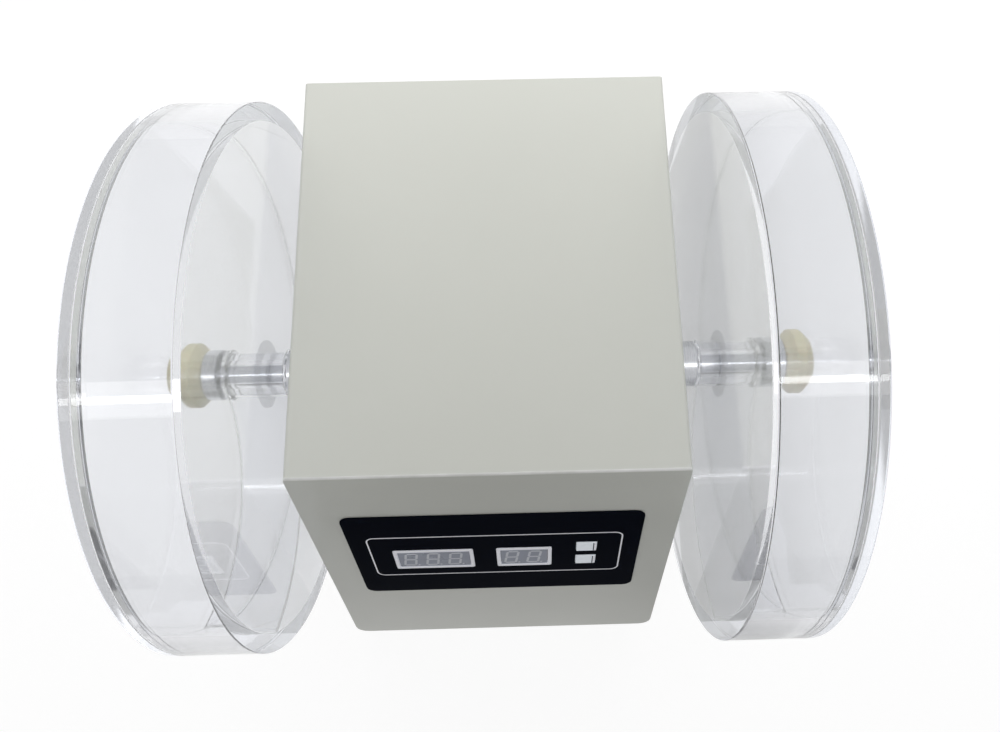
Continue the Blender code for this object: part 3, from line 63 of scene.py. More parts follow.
# Places taken from the frame
CASING_LOW, CASING_HIGH = (np.array(corner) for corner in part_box("casing_shell"))
CASING_SIZE = CASING_HIGH - CASING_LOW
CASING_X, CASING_Y, CASING_Z = (CASING_LOW + CASING_HIGH) / 2
SHAFT_LOW, SHAFT_HIGH = (np.array(corner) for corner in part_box("main_shaft"))
AXIS = np.array([0, (SHAFT_LOW[1] + SHAFT_HIGH[1]) / 2, (SHAFT_LOW[2] + SHAFT_HIGH[2]) / 2])
SHAFT_RADIUS = (SHAFT_HIGH[2] - SHAFT_LOW[2]) / 2
PANEL_OUT = -np.array(next(joint["axis"] for joint in frame["joints"] if joint["name"] == "start_key_press"))
PANEL_UP = np.array([0, PANEL_OUT[2], -PANEL_OUT[1]])
PANEL_AXES = np.array([[1, 0, 0], PANEL_UP, PANEL_OUT])  # rows: across, up the slope, outwards
FRONT_TOP_Y = CASING_LOW[1] + CASING_SIZE[2] * PANEL_UP[1] / PANEL_UP[2]
PANEL_ORIGIN = np.array([CASING_X, FRONT_TOP_Y, CASING_HIGH[2]])
SIDES = (("left", -1), ("right", 1))
SLOT_OF = {part["node"]: part["material_slot"] for part in frame["record"]["subparts"]}
BODY_OF = {node: body for body, nodes in frame["record"]["behaviour"]["bodies"].items() for node in nodes}

# Fits and roundings
SEAT = 0.0003  # gap between two pieces that touch
HOLE_FIT = 0.0004  # gap round the shaft in what it passes through
FINE = 0.00005  # the smallest rounding and step
MERGE = 2e-6  # points nearer than this are one
SUPPORT_SHARE = 0.3  # how far past a rounding, in its radii, a side gets a further point
SHARP_FROM = math.radians(35)
FLAT_WITHIN = math.radians(0.5)
SHAFT_SEAT = SHAFT_RADIUS + SEAT
SHAFT_HOLE = SHAFT_RADIUS + HOLE_FIT
SHAFT_ENDS = 0.0007
COVER_EDGE_SHARE = 1.6
VANE_EDGE, VANE_STEPS = 0.0003, 48
DISC_ROUNDING = (FINE, 0.0003, 0.0003, FINE)
COLLAR_ROUNDING = (0.0002, 0.0009, 0.0006, 0.0002)
PIN_ROUNDING = (0, FINE, 0.0003, 0)
STOP_ROUNDING = (0.0002, 0.0005, 0.0005, 0.0002)
WASHER_ROUNDING = (0.0002, 0.0009, 0.0009, 0.0002)
PIN_RADIUS, PIN_CIRCLE, PIN_SUNK = 0.0013, 0.009, 0.001  # sunk into the collar
NUT_CHAMFER, NUT_MOUTH, NUT_BORE_DEPTH = 0.0048, 0.0002, 0.011
TENTH = 0.0001  # of a millimetre, in metres
SOFT_EDGES = {  # in tenths of a millimetre
    "rear_panel": 3, "base_plate": 3, "drive_frame": 5, "mains_inlet": 5, "power_switch_body": 5,
    "power_switch_rocker": 6, "fuse_holder": 4, "start_key_switch": 2, "reverse_key_switch": 2,
    "display_board": 2, "display_carrier": 3, "board_tray": 3, "control_board": 2, "transformer_core": 4,
    "transformer_coil": 15, "optical_sensor": 4, "motor_gearbox": 6, "motor_can": 4, "motor_shaft": 3,
    "left_bearing_housing": 4, "right_bearing_housing": 4, "left_shaft_bearing": 1, "right_shaft_bearing": 1,
    "sensor_disc": 1, "drive_gear": 1, "motor_pinion": 1, "rubber_foot_front_left": 6,
    "rubber_foot_front_right": 6, "rubber_foot_rear_left": 6, "rubber_foot_rear_right": 6,
}

# Front panel, from the bend between top and front
BORDER_SIZE, BORDER_CORNER, BORDER_DOWN = (0.1530, 0.0524), 0.0052, 0.0941
WINDOW_SUNK, WINDOW_CHAMFER = 0.0012, 0.0003
WINDOW_CORNERS = (0.0012, 0.0010, 0.0006, 0.0004)  # from outside to inside
FACE_CORNER = 0.0005
DIGIT_SHIFT, DIGIT_GAP, DIGIT_SLANT, DOT_ASIDE = 0.0008, 0.00018, math.radians(8), 0.0021
KEY_ROUNDING, KEY_HOLE_GAP = 0.0004, 0.0004
# widths of each key's painted shade line and painted highlight strip, the strip's inset, and the margins
KEY_SHADE_LINE, KEY_HIGHLIGHT_STRIP, KEY_STRIP_INSET, KEY_MARGINS = 0.0006, 0.0012, 0.0002, 0.0012
LINE_CORNER, STRIP_CORNER, HOLE_CORNER, OPENING_CORNER = 0.0001, 0.0003, 0.0002, 0.0004

# Screws
REAR_SCREW_INSET, BASE_SCREW_INSET = 0.0085, 0.0135  # from the casing's sides
BASE_SCREW_SHARES = (-0.3, 0, 0.3)  # of the base's depth, from its middle
HOUSING_SCREW_CIRCLE, HOUSING_SCREW_START = 0.019, math.radians(30)
HEAD_RINGS, HEAD_TURNS = 15, 56
HEAD_FALL, RECESS_DEPTH = 0.45, 0.55  # shares of the head's height
RECESS_REACH, RECESS_END, RECESS_SIDE = 0.62, 0.10, 0.11  # shares of its radius: arm and sloping walls
RECESS_BREADTH = 1.6  # half an arm's width, in sloping side walls

# Front bend
BEND_HIGHLIGHT = (0.0006, 0.0012)  # from its crest, where the painted highlight begins to fade and ends

# Light in the acrylic, by the number of times that it has turned, been mirrored or passed a surface
DEEP_RAYS = 8.5  # light that has turned more often than this leaves the acrylic straight
TRAPPED_RAYS = 2.5  # light that has been mirrored more often than this is trapped in the acrylic
PAINTED_GLOW_RAYS = 5.5  # and shows a painted glow until it has turned this often
FIRST_DISC = 1.5  # and only in the first disc that it entered
ACRYLIC_IOR = 1.49  # how strongly acrylic bends light
CLEAR_SHADOW = 0.95  # share of the lamps' light that passes to what lies under the acrylic

# Stage
CAMERA_PLACE = (0.01995, -0.10965, 0.6156)
CAMERA_TILT_DOWN, CAMERA_PAN, CAMERA_ROLL = 74.95, 2.567, -1.106  # degrees, the pan to the right of +Y
FILM_WIDTH, LENS = 36, 27.694  # millimetres
PRINCIPAL_X, PRINCIPAL_Y = 535.43, 339.37  # the optical axis in the photograph, in pixels
IMAGE_WIDTH, IMAGE_HEIGHT = 1000, 732
LAMPS = (  # name, place, target, length along X and depth, power, whether metal and glass show it
    ("strip_light", (-0.06, -0.42, 1.30), (0, -0.03, 0.30), (1.7, 0.05), "strip_power", True),
    ("strip_halo", (-0.06, -0.42, 1.305), (0, -0.03, 0.30), (1.7, 0.26), "halo_power", True),
    ("top_light", (0.05, 0.48, 0.53), (0, 0.10, 0.20), (1.6, 0.3), "top_power", False),
)
FLOOR_RINGS, FLOOR_TURNS = np.array([0.0, 0.4, 1.2, 6.0]), 96
PAINTED_FAR_SHADE_Y = (-0.32, -0.17)  # painted shade: the floor ahead of the tester falls off between these Y
PAINTED_SHADE_BEGINS, PAINTED_SHADE_ENDS = (0.04, 0.12), (0.19, 0.26)  # painted shadow to the right of the casing: it falls, then lifts, between these X
PAINTED_SHADE_LIFTED = 0.8  # share of the painted shadow that is gone past its end
FLOOR_WHITE = 0.80  # share of the floor's own white light in what straight rays see
SEEN_THROUGH = 0.95  # brightness of the surroundings through glass


def plain_number(name, description, default):
    return FloatProperty(name=name, description=description, default=default, min=0)


def size(name, description, default):
    return FloatProperty(name=name, description=description, default=default, min=0, subtype="DISTANCE",
                         unit="LENGTH")


def colour(name, description, default):
    return FloatVectorProperty(name=name, description=description, default=default, size=3, min=0, max=1,
                               subtype="COLOR")


def share(name, description, default):
    return FloatProperty(name=name, description=description, default=default, min=0, max=1, subtype="FACTOR")


class TesterDrums(bpy.types.PropertyGroup):
    segments: IntProperty(name="Segments", description="Steps round each drum", default=240, min=24)
    ring_thickness: size("Ring thickness", "From a drum's bore to its rim", 0.0095)
    edge: size("Edge rounding", "Radius of the polished outer edges", 0.0005)
    flare_radius: size("Flare radius", "Radius of the hub tube's outer end", 0.0146)
    flare_length: size("Flare length", "Length of the hub tube's flared end", 0.0032)
    glue_fillet: size("Glue fillet", "Radius where the hub tube meets the wall", 0.0020)
    vane_radius: size("Vane radius", "Inner radius of the curved vane", 0.0805)
    vane_thickness: size("Vane thickness", "Thickness of the curved vane", 0.0030)
    tint: colour("Acrylic tint", "Colour of light that passes the acrylic", (0.945, 0.950, 0.965))
    absorbs: colour("Acrylic depth colour", "Colour that long ways through the acrylic take",
                    (0.70, 0.73, 0.80))
    density: plain_number("Absorption", "Absorption per metre of acrylic", 5)
    # painted glow: strength of the emission that the cover discs show where light is trapped, and the share of it
    # that the right drum lacks
    glow: share("Glow", "Brightness of light that is trapped in a disc and comes out at its rim", 0.65)
    painted_glow_fall: share("Glow fall", "Share of that glow which the right drum has less than the left one", 0.60)
    leak: share("Leak", "Share of trapped light that leaves straight", 0.10)


class TesterMetal(bpy.types.PropertyGroup):
    steel: colour("Steel", "Turned steel of shaft and bearings", (0.62, 0.63, 0.65))
    aluminium: colour("Aluminium", "Turned washers, collars and housings", (0.66, 0.67, 0.69))
    nylon: colour("Nut", "Cream plastic of the clamp nuts", (0.80, 0.73, 0.48))
    nut_rounding: size("Nut rounding", "Radius of the nut's chamfer corners", 0.0011)


class TesterCasing(bpy.types.PropertyGroup):
    enamel: colour("Enamel", "Warm white enamel of the casing", (0.69, 0.70, 0.645))
    edge: size("Edge rounding", "Radius of the folded sheet's free edges", 0.0006)
    bend: size("Bend", "Outer radius of the bend between top and front", 0.0030)
    screw_radius: size("Screw radius", "Radius of the pan heads", 0.0029)
    screw_height: size("Screw height", "Height of the pan heads", 0.0019)


class TesterPanel(bpy.types.PropertyGroup):
    film: colour("Film", "Blue-black film of the front label", (0.0028, 0.0040, 0.0086))
    print_colour: colour("Border", "Printed border line", (0.80, 0.80, 0.84))
    border_width: size("Border width", "Width of the printed line", 0.0009)
    digit_height: size("Digit height", "Height of a display digit", 0.0164)
    digit_width: size("Digit width", "Width of a display digit", 0.0082)
    digit_pitch: size("Digit pitch", "From one digit to the next", 0.0137)
    bar: size("Bar width", "Width of a digit's bars", 0.0015)
    bezel_height: size("Bezel height", "How far the display frames stand out from the film", 0.0007)
    bezel_border: size("Bezel border", "Width of the display frames", 0.0024)
    face_height: size("Face height", "How far the display faces stand out from the film", 0.0004)
    key_side: size("Key side", "How much of each key's right side is cut away", 0.0013)
    key_foot: size("Key foot", "How much of each key's lower side is cut away", 0.0018)
    key_height: size("Key height", "How far the keys stand out from the film", 0.0006)
    window: colour("Window", "Grey face behind the digits", (0.32, 0.345, 0.43))
    digit: colour("Digit", "Unlit bars", (0.68, 0.70, 0.76))
    bezel: colour("Bezel", "Bright plastic of the display frames", (0.88, 0.89, 0.95))
    key: colour("Key", "Pale keys", (0.86, 0.91, 0.97))


class TesterStage(bpy.types.PropertyGroup):
    strip_power: plain_number("Strip light", "Power of the long strip ahead", 1.6)
    halo_power: plain_number("Halo", "Power of the soft light round the strip", 2.0)
    top_power: plain_number("Top light", "Power of the broad light behind", 4.1)
    ambient: share("Ambient", "Brightness of the surroundings", 0.26)
    floor: colour("Floor", "Pale floor", (0.90, 0.90, 0.90))
    mirrored: share("Mirrored", "How much brighter the surroundings are in metal and glass", 0.56)
    # painted shadow: its brightness on the floor to the right of the casing, seen through the right drum
    painted_right_shade: share("Right shade", "Brightness of the shaded floor that the right drum shows", 0.70)
    # painted shade: how much the floor ahead of the tester throws back
    painted_far_shade: share("Far floor", "Share of light that the floor ahead of the tester throws back", 0.30)
    white: plain_number("White", "How white the floor shows to straight rays", 1.1)


# Surfaces from arrays

def unit(vectors):
    return vectors / np.linalg.norm(vectors, axis=-1, keepdims=True)


def filleted(corners, radii, steps=6):
    """A closed outline with rounded corners.

    Each corner's arc is centred radius / sin(half angle) along the bisector. Its points turn from one
    touching point to the other by spherical interpolation of the two radius vectors. A further point on
    each straight side, a share of the radius away, keeps the sides' shading flat.
    """
    points = np.array(corners, float)
    radii = np.broadcast_to(np.array(radii, float), len(points))
    before = unit(np.roll(points, 1, axis=0) - points)
    after = unit(np.roll(points, -1, axis=0) - points)
    half = np.arccos(np.clip((before * after).sum(axis=1), -1, 1)) / 2
    centre = points + unit(before + after) * (radii / np.sin(half))[:, None]
    reach = (radii / np.tan(half))[:, None]
    first = points + before * reach - centre
    last = points + after * reach - centre
    turn = (math.pi - 2 * half)[:, None]
    part = np.linspace(0, 1, steps + 1)
    weights = np.sin(np.stack([(1 - part) * turn, part * turn])) / np.sin(turn)
    arcs = centre[:, None] + weights[0][..., None] * first[:, None] + weights[1][..., None] * last[:, None]
    support = reach + radii[:, None] * SUPPORT_SHARE
    ends = points + before * support, points + after * support
    return np.concatenate([ends[0][:, None], arcs, ends[1][:, None]], axis=1).reshape(-1, 2)


def merged(mesh, then):
    """Merges the mesh's coinciding points, so that poles and seams close, and does one more step to it."""
    bm = bmesh.new()
    bm.from_mesh(mesh)
    bmesh.ops.remove_doubles(bm, verts=bm.verts, dist=MERGE)
    then(bm)
    bm.to_mesh(mesh)
    bm.free()
    return mesh


def finished_mesh(name, points, faces):
    """A merged mesh whose faces point outwards."""
    mesh = bpy.data.meshes.new(name)
    mesh.from_pydata(points.reshape(-1, 3).tolist(), [], faces)
    return merged(mesh, lambda bm: bmesh.ops.recalc_face_normals(bm, faces=bm.faces))


def grid_faces(rows, columns, wrap_rows=True, offset=0):
    """Quads between neighbours on a grid of points; columns always wrap round, rows where asked."""
    index = offset + np.arange(rows * columns).reshape(rows, columns)
    if wrap_rows:
        index = np.vstack([index, index[:1]])
    index = np.hstack([index, index[:, :1]])
    corners = index[:-1, :-1], index[1:, :-1], index[1:, 1:], index[:-1, 1:]
    return np.stack(corners, axis=-1).reshape(-1, 4).tolist()


def placed(name, data):
    """A new object in the scene, at the origin."""
    obj = bpy.data.objects.new(name, data)
    bpy.context.scene.collection.objects.link(obj)
    return obj


def piece(name, mesh, node, replaces=(), look=None):
    """Shows a finished mesh, which rides on the node's body and takes its finish from the node's slot."""
    mesh.shade_smooth()
    mesh.set_sharp_from_angle(angle=SHARP_FROM)
    mesh.materials.clear()
    mesh.materials.append(finish(look or SLOT_OF[node]))
    obj = placed(name, mesh)
    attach(obj, BODY_OF[node])
    if replaces:
        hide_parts(*replaces)
    return obj


def turned(name, node, side, corners, radii, replaces=None, look=None, segments=96, centre=AXIS, steps=6):
    """A piece turned about a line along X from a rounded outline: (x, radius cos a, radius sin a).

    The outline's corners are (distance from the casing's middle, radius). By default it replaces its node.
    """
    outline = filleted([(CASING_X + side * reach, radius) for reach, radius in corners], radii, steps)
    angle = np.linspace(0, math.tau, segments, endpoint=False)
    reach = outline[:, 1, None]
    along = np.broadcast_to(outline[:, 0, None], (len(outline), segments))
    points = np.stack([along, reach * np.cos(angle), reach * np.sin(angle)], axis=-1) + centre
    mesh = finished_mesh(name, points, grid_faces(len(outline), segments))
    piece(name, mesh, node, (node,) if replaces is None else replaces, look)


def panel_place(points):
    """(across, up the slope, outwards from the sheet) in the model's frame."""
    return PANEL_ORIGIN + points @ PANEL_AXES


def slab(name, node, outlines, section, replaces=(), look=None, place=panel_place):
    """A piece of flat outlines with a shaped rim, capped flat at both ends.

    At each (inset, height) of the section every outline point is drawn in along its mitred normal, which is
    the sum of its two edge normals over one plus their product. place turns (across, up, out) into the
    model's frame.
    """
    outlines = np.array(outlines, float)
    copies, count = outlines.shape[:2]
    edges = unit(np.roll(outlines, -1, axis=1) - outlines)
    after = np.stack([edges[..., 1], -edges[..., 0]], axis=-1)
    before = np.roll(after, 1, axis=1)
    normal = (before + after) / (1 + (before * after).sum(axis=-1, keepdims=True))
    section = np.array(section, float)
    levels = len(section)
    flat = outlines[:, None] - normal[:, None] * section[None, :, 0, None, None]
    height = np.broadcast_to(section[None, :, 1, None, None], flat.shape[:3] + (1,))
    faces = []
    for copy in range(copies):
        offset = copy * levels * count
        faces += grid_faces(levels, count, False, offset)
        faces += [list(range(start, start + count)) for start in (offset, offset + (levels - 1) * count)]
    points = place(np.concatenate([flat, height], axis=-1))
    piece(name, finished_mesh(name, points, faces), node, replaces, look)


def rectangle(width, height, radius, centre, steps=6):
    """A counter-clockwise rectangle with rounded corners."""
    half = np.array([width, height]) / 2
    return filleted(np.array([[-1, -1], [1, -1], [1, 1], [-1, 1]]) * half + centre, radius, steps)


def banded(name, node, centre, levels, replaces=(), look=None):
    """A piece that is a closed band through rounded rectangles on the panel.

    Each is (width, height, corner radius, level and, where it isn't the centre, middle).
    """
    loops = [rectangle(*level[:3], level[4] if len(level) > 4 else centre, 8) for level in levels]
    stack = np.stack([np.column_stack([loop, np.full(len(loop), level[3])])
                      for loop, level in zip(loops, levels)])
    mesh = finished_mesh(name, panel_place(stack), grid_faces(len(levels), len(loops[0])))
    piece(name, mesh, node, replaces, look)


def softened(node, width):
    """Stands for a CAD node: a merged copy, with its flat faces joined and a bevel on its sharp edges."""
    mesh = merged(frame["nodes"][node].data.copy(), lambda bm: bmesh.ops.dissolve_limit(
        bm, angle_limit=FLAT_WITHIN, verts=bm.verts, edges=bm.edges))
    obj = piece(node + "_finished", mesh, node, (node,))
    bevel = obj.modifiers.new("rounded edges", "BEVEL")
    bevel.width = width
    bevel.segments = 3
    bevel.limit_method = "ANGLE"
    bevel.angle_limit = SHARP_FROM
    bevel.harden_normals = True
    return obj


# Materials

def add(tree, kind, inputs=None, **settings):
    """A shader node; each input is a value or the output that feeds it."""
    node = tree.nodes.new("ShaderNode" + kind)
    for name, value in settings.items():
        setattr(node, name, value)
    for name, value in (inputs or {}).items():
        if isinstance(value, bpy.types.NodeSocket):
            tree.links.new(value, node.inputs[name])
        else:
            node.inputs[name].default_value = value
    return node


def object_place(tree):
    return add(tree, "TexCoord").outputs["Object"]


def object_axes(tree):
    return add(tree, "SeparateXYZ", {"Vector": object_place(tree)}).outputs


def joined(tree, x, y, z=0.0):
    return add(tree, "CombineXYZ", {"X": x, "Y": y, "Z": z}).outputs["Vector"]


def length(tree, vector):
    return add(tree, "VectorMath", {0: vector}, operation="LENGTH").outputs["Value"]


def noise(tree, scale, detail, roughness, place=None):
    return add(tree, "TexNoise", {"Vector": place or object_place(tree), "Scale": scale, "Detail": detail,
                                  "Roughness": roughness}).outputs["Fac"]


def mapped(tree, value, low, high, to_low, to_high):
    return add(tree, "MapRange", {"Value": value, "From Min": low, "From Max": high, "To Min": to_low,
                                  "To Max": to_high}).outputs["Result"]


def maths(tree, operation, first, second=0.0):
    return add(tree, "Math", {0: first, 1: second}, operation=operation).outputs["Value"]


def times(tree, first, second):
    return maths(tree, "MULTIPLY", first, second)


def most(tree, first, second):
    return maths(tree, "MAXIMUM", first, second)


def blended(tree, factor, first, second):
    """The first colour, and the second, plain one where the factor is one."""
    mixed = add(tree, "Mix", data_type="RGBA")
    tree.links.new(factor, mixed.inputs["Factor"])
    tree.links.new(first, mixed.inputs["A"])
    mixed.inputs["B"].default_value = (*second, 1)
    return mixed.outputs["Result"]


def smudges(tree, given):
    return mapped(tree, noise(tree, given["Scale"], 4.0, 0.6), 0.35, 0.65, given["Low"], given["High"])


def grain(tree, given):
    return noise(tree, given["Scale"], 2.0, 0.55)


def edge_wear(tree, given):
    edges = mapped(tree, add(tree, "NewGeometry").outputs["Pointiness"], 0.52, 0.62, 0.0, 1.0)
    broken = mapped(tree, noise(tree, given["Scale"], 5.0, 0.65), 0.45, 0.65, 0.0, 1.0)
    return times(tree, times(tree, edges, broken), given["Amount"])


def turning_lines(tree, given):
    """Noise that depends only on the place along the shaft and the distance from it."""
    axes = object_axes(tree)
    aside = [maths(tree, "SUBTRACT", axes[axis], AXIS[axis]) for axis in (1, 2)]
    place = joined(tree, axes["X"], length(tree, joined(tree, 0.0, *aside)))
    return noise(tree, given["Scale"], 2.0, 0.6, place)


def drawn_lines(tree, given):
    """Noise drawn out across X."""
    axes = object_axes(tree)
    place = joined(tree, times(tree, axes["X"], given["Stretch"]), axes["Y"], axes["Z"])
    return noise(tree, given["Scale"], 4.0, 0.6, place)


GROUPS = (
    ("smudges", smudges, {"Scale": 40, "Low": 0.3, "High": 0.4}, "Value"),
    ("grain", grain, {"Scale": 1500}, "Height"),
    ("edge wear", edge_wear, {"Scale": 300, "Amount": 0.5}, "Mask"),
    ("turning lines", turning_lines, {"Scale": 9000}, "Height"),
    ("drawn lines", drawn_lines, {"Scale": 60, "Stretch": 30}, "Height"),
)


def make_groups():
    """The effects that several materials share, each a node group with number inputs and one output."""
    for name, work, inputs, output in GROUPS:
        tree = bpy.data.node_groups.new(name, "ShaderNodeTree")
        for label, default in inputs.items():
            entry = tree.interface.new_socket(label, in_out="INPUT", socket_type="NodeSocketFloat")
            entry.default_value = default
        tree.interface.new_socket(output, in_out="OUTPUT", socket_type="NodeSocketFloat")
        given = tree.nodes.new("NodeGroupInput").outputs
        tree.links.new(work(tree, given), tree.nodes.new("NodeGroupOutput").inputs[output])


def use(tree, name, **values):
    made = add(tree, "Group", node_tree=bpy.data.node_groups[name])
    for label, value in values.items():
        made.inputs[label].default_value = value
    return made.outputs[0]


def tinted(tree, base, amount, scale):
    """The colour with a slight, slow change of lightness over the surface."""
    change = mapped(tree, noise(tree, scale, 3.0, 0.5), 0.3, 0.7, 1 - amount, 1 + amount)
    return add(tree, "HueSaturation", {"Color": (*base, 1), "Value": change}).outputs["Color"]


def bumped(tree, height, distance):
    return add(tree, "Bump", {"Height": height, "Distance": distance, "Strength": 1.0}).outputs["Normal"]


def new_finish(name, **plain):
    """The node tree of a new Principled material with plain values on the shader's own sockets."""
    material = bpy.data.materials.new(name)
    material.use_nodes = True
    for label, value in plain.items():
        socket(material.node_tree, label).default_value = value
    return material.node_tree


def socket(tree, label):
    return tree.nodes["Principled BSDF"].inputs[label.replace("_", " ")]


def feed(tree, **outputs):
    for label, output in outputs.items():
        tree.links.new(output, socket(tree, label))


def worn(tree, base, wear_colour, amount):
    """The base colour, paler or darker where edges are rubbed."""
    return blended(tree, use(tree, "edge wear", Scale=300, Amount=amount), base, wear_colour)


def plain_finish(name, base, roughness, grain_scale, grain_depth, rub=0.4, **plain):
    """A moulded or coated surface: slow change of tone, uneven gloss, fine grain and rubbed edges."""
    tree = new_finish(name, **plain)
    toned = tinted(tree, base, 0.03, 25)
    rubbed = tuple(min(1.0, channel * 1.15 + 0.01) for channel in base)
    feed(tree, Base_Color=worn(tree, toned, rubbed, rub) if rub else toned,
         Roughness=use(tree, "smudges", Scale=45, Low=roughness - 0.05, High=roughness + 0.06),
         Normal=bumped(tree, use(tree, "grain", Scale=grain_scale), grain_depth))


def enamel_finish(name, base):
    """Powder coat: fine orange peel, slow change of tone and gloss, and a painted highlight along the front bend.

    The bend's crest runs along X. Its place is the corner of top and front, drawn in by the bend's rounding.
    """
    tree = new_finish(name, Specular_IOR_Level=0.25, Coat_Weight=0.6, Coat_Roughness=0.10)
    axes = object_axes(tree)
    outward = unit(np.array([PANEL_OUT[1], PANEL_OUT[2] + 1]))
    crest = PANEL_ORIGIN[1:] - outward * bpy.context.scene.tester_casing.bend * (1 / outward[1] - 1)
    flat = joined(tree, *(maths(tree, "SUBTRACT", axes[axis], crest[axis - 1]) for axis in (1, 2)))
    # painted highlight: the base colour turns paler, in patches, near the bend's crest
    line = mapped(tree, length(tree, flat), *BEND_HIGHLIGHT, 1.0, 0.0)
    highlight_patches = mapped(tree, noise(tree, 35, 4.0, 0.6), 0.35, 0.6, 0.5, 1.0)
    toned = tinted(tree, base, 0.006, 7)
    feed(tree, Base_Color=blended(tree, times(tree, line, highlight_patches), toned, (0.95, 0.95, 0.93)),
         Roughness=use(tree, "smudges", Scale=20, Low=0.38, High=0.46),
         Normal=bumped(tree, use(tree, "grain", Scale=1400), 0.000002))


def metal_finish(name, base, roughness, lines, line_scale, depth):
    """A turned or drawn metal: fine lines in its gloss and relief."""
    tree = new_finish(name, Metallic=1.0)
    height = use(tree, lines, Scale=line_scale)
    feed(tree, Base_Color=worn(tree, tinted(tree, base, 0.04, 60), (0.85, 0.85, 0.85), 0.4),
         Roughness=mapped(tree, height, 0.3, 0.7, roughness - 0.06, roughness + 0.08),
         Normal=bumped(tree, height, depth))


def clear_finish(name, drums):
    """Polished acrylic: refracts, darkens with depth and lets most light through to what lies under it.

    Where light has been mirrored inside a cover disc until it is trapped, the disc shows a painted glow, an
    emission that makes its rim even and pale; it is weaker on the right drum than on the left.
    """
    tree = new_finish(name, IOR=ACRYLIC_IOR, Emission_Strength=1.0)
    bpy.data.materials[name].cycles.emission_sampling = "NONE"
    socket(tree, "Transmission Weight").default_value = 1.0
    path = add(tree, "LightPath").outputs
    # painted glow: light that is trapped in a cover disc makes the disc emit, which stands in for its pale rim
    trapped = maths(tree, "GREATER_THAN", path["Glossy Depth"], TRAPPED_RAYS)
    painted_glow_rays = times(tree, trapped, maths(tree, "LESS_THAN", path["Ray Depth"], PAINTED_GLOW_RAYS))
    painted_glow_rays = times(tree, painted_glow_rays, maths(tree, "LESS_THAN", path["Transmission Depth"], FIRST_DISC))
    spent = maths(tree, "SUBTRACT", trapped, times(tree, painted_glow_rays, 1 - drums.leak))
    late = most(tree, maths(tree, "GREATER_THAN", path["Ray Depth"], DEEP_RAYS), spent)
    # the painted glow is weaker from the left drum to the right one, and shows only past the ring
    across = object_axes(tree)["X"]
    right_painted_glow = drums.glow * (1 - drums.painted_glow_fall)
    level = mapped(tree, across, CASING_LOW[0], CASING_HIGH[0], drums.glow, right_painted_glow)
    reach = maths(tree, "ABSOLUTE", maths(tree, "SUBTRACT", across, CASING_X))
    glow = times(tree, level, maths(tree, "GREATER_THAN", reach, reach_of("left_drum_ring", -1)[1]))
    lets_through = most(tree, times(tree, path["Is Shadow Ray"], CLEAR_SHADOW), late)
    feed(tree, Base_Color=tinted(tree, drums.tint, 0.01, 12),
         Roughness=use(tree, "smudges", Scale=18, Low=0.0, High=0.02),
         Alpha=maths(tree, "SUBTRACT", 1.0, lets_through), Emission_Color=times(tree, painted_glow_rays, glow),
         Normal=bumped(tree, noise(tree, 900, 5.0, 0.7), 0.000002))
    depth = add(tree, "VolumeAbsorption", {"Color": (*drums.absorbs, 1), "Density": drums.density})
    tree.links.new(depth.outputs["Volume"], tree.nodes["Material Output"].inputs["Volume"])


def hub_disc_finish(name):
    """The thin, faintly grey disc: mostly see-through, with turning lines."""
    tree = new_finish(name, Alpha=0.19, IOR=ACRYLIC_IOR)
    feed(tree, Base_Color=tinted(tree, (0.50, 0.51, 0.57), 0.04, 40),
         Roughness=use(tree, "smudges", Scale=60, Low=0.12, High=0.25),
         Normal=bumped(tree, use(tree, "turning lines", Scale=2500), 0.000004))


def striped_finish(name, base, metallic, roughness, pitch, axis, depth):
    """Laminations or turns of wire: fine parallel ridges along one axis."""
    tree = new_finish(name, Metallic=metallic)
    wave = maths(tree, "ABSOLUTE", maths(tree, "SINE", times(tree, object_axes(tree)[axis], math.pi / pitch)))
    feed(tree, Base_Color=worn(tree, tinted(tree, base, 0.12, 90), base, 0.2),
         Roughness=mapped(tree, wave, 0.0, 1.0, roughness + 0.15, roughness),
         Normal=bumped(tree, wave, depth))


def board_finish(name):
    """Green solder mask over copper tracks: straight runs from a stepped noise, a little paler and raised."""
    tree = new_finish(name, Coat_Weight=0.3, Coat_Roughness=0.2)
    cell = add(tree, "TexBrick", {"Vector": object_place(tree), "Scale": 260.0, "Mortar Size": 0.09,
                                  "Color1": (0.02, 0.13, 0.05, 1), "Color2": (0.025, 0.16, 0.06, 1),
                                  "Mortar": (0.05, 0.27, 0.11, 1)}, offset=0.37, squash=1.7)
    feed(tree, Base_Color=cell.outputs["Color"],
         Roughness=use(tree, "smudges", Scale=60, Low=0.32, High=0.45),
         Normal=bumped(tree, cell.outputs["Fac"], 0.00005))


def painted_glow(base, strength):
    """Plain values of a painted glow, by which a surface shows a little brighter than the lamps make it."""
    return {"Emission_Color": (*base, 1), "Emission_Strength": strength}


def finish(slot):
    """The material of a record slot or of a detail, made on first use."""
    name = "finish " + slot
    if name not in bpy.data.materials:
        make_finish(name, slot)
    return bpy.data.materials[name]


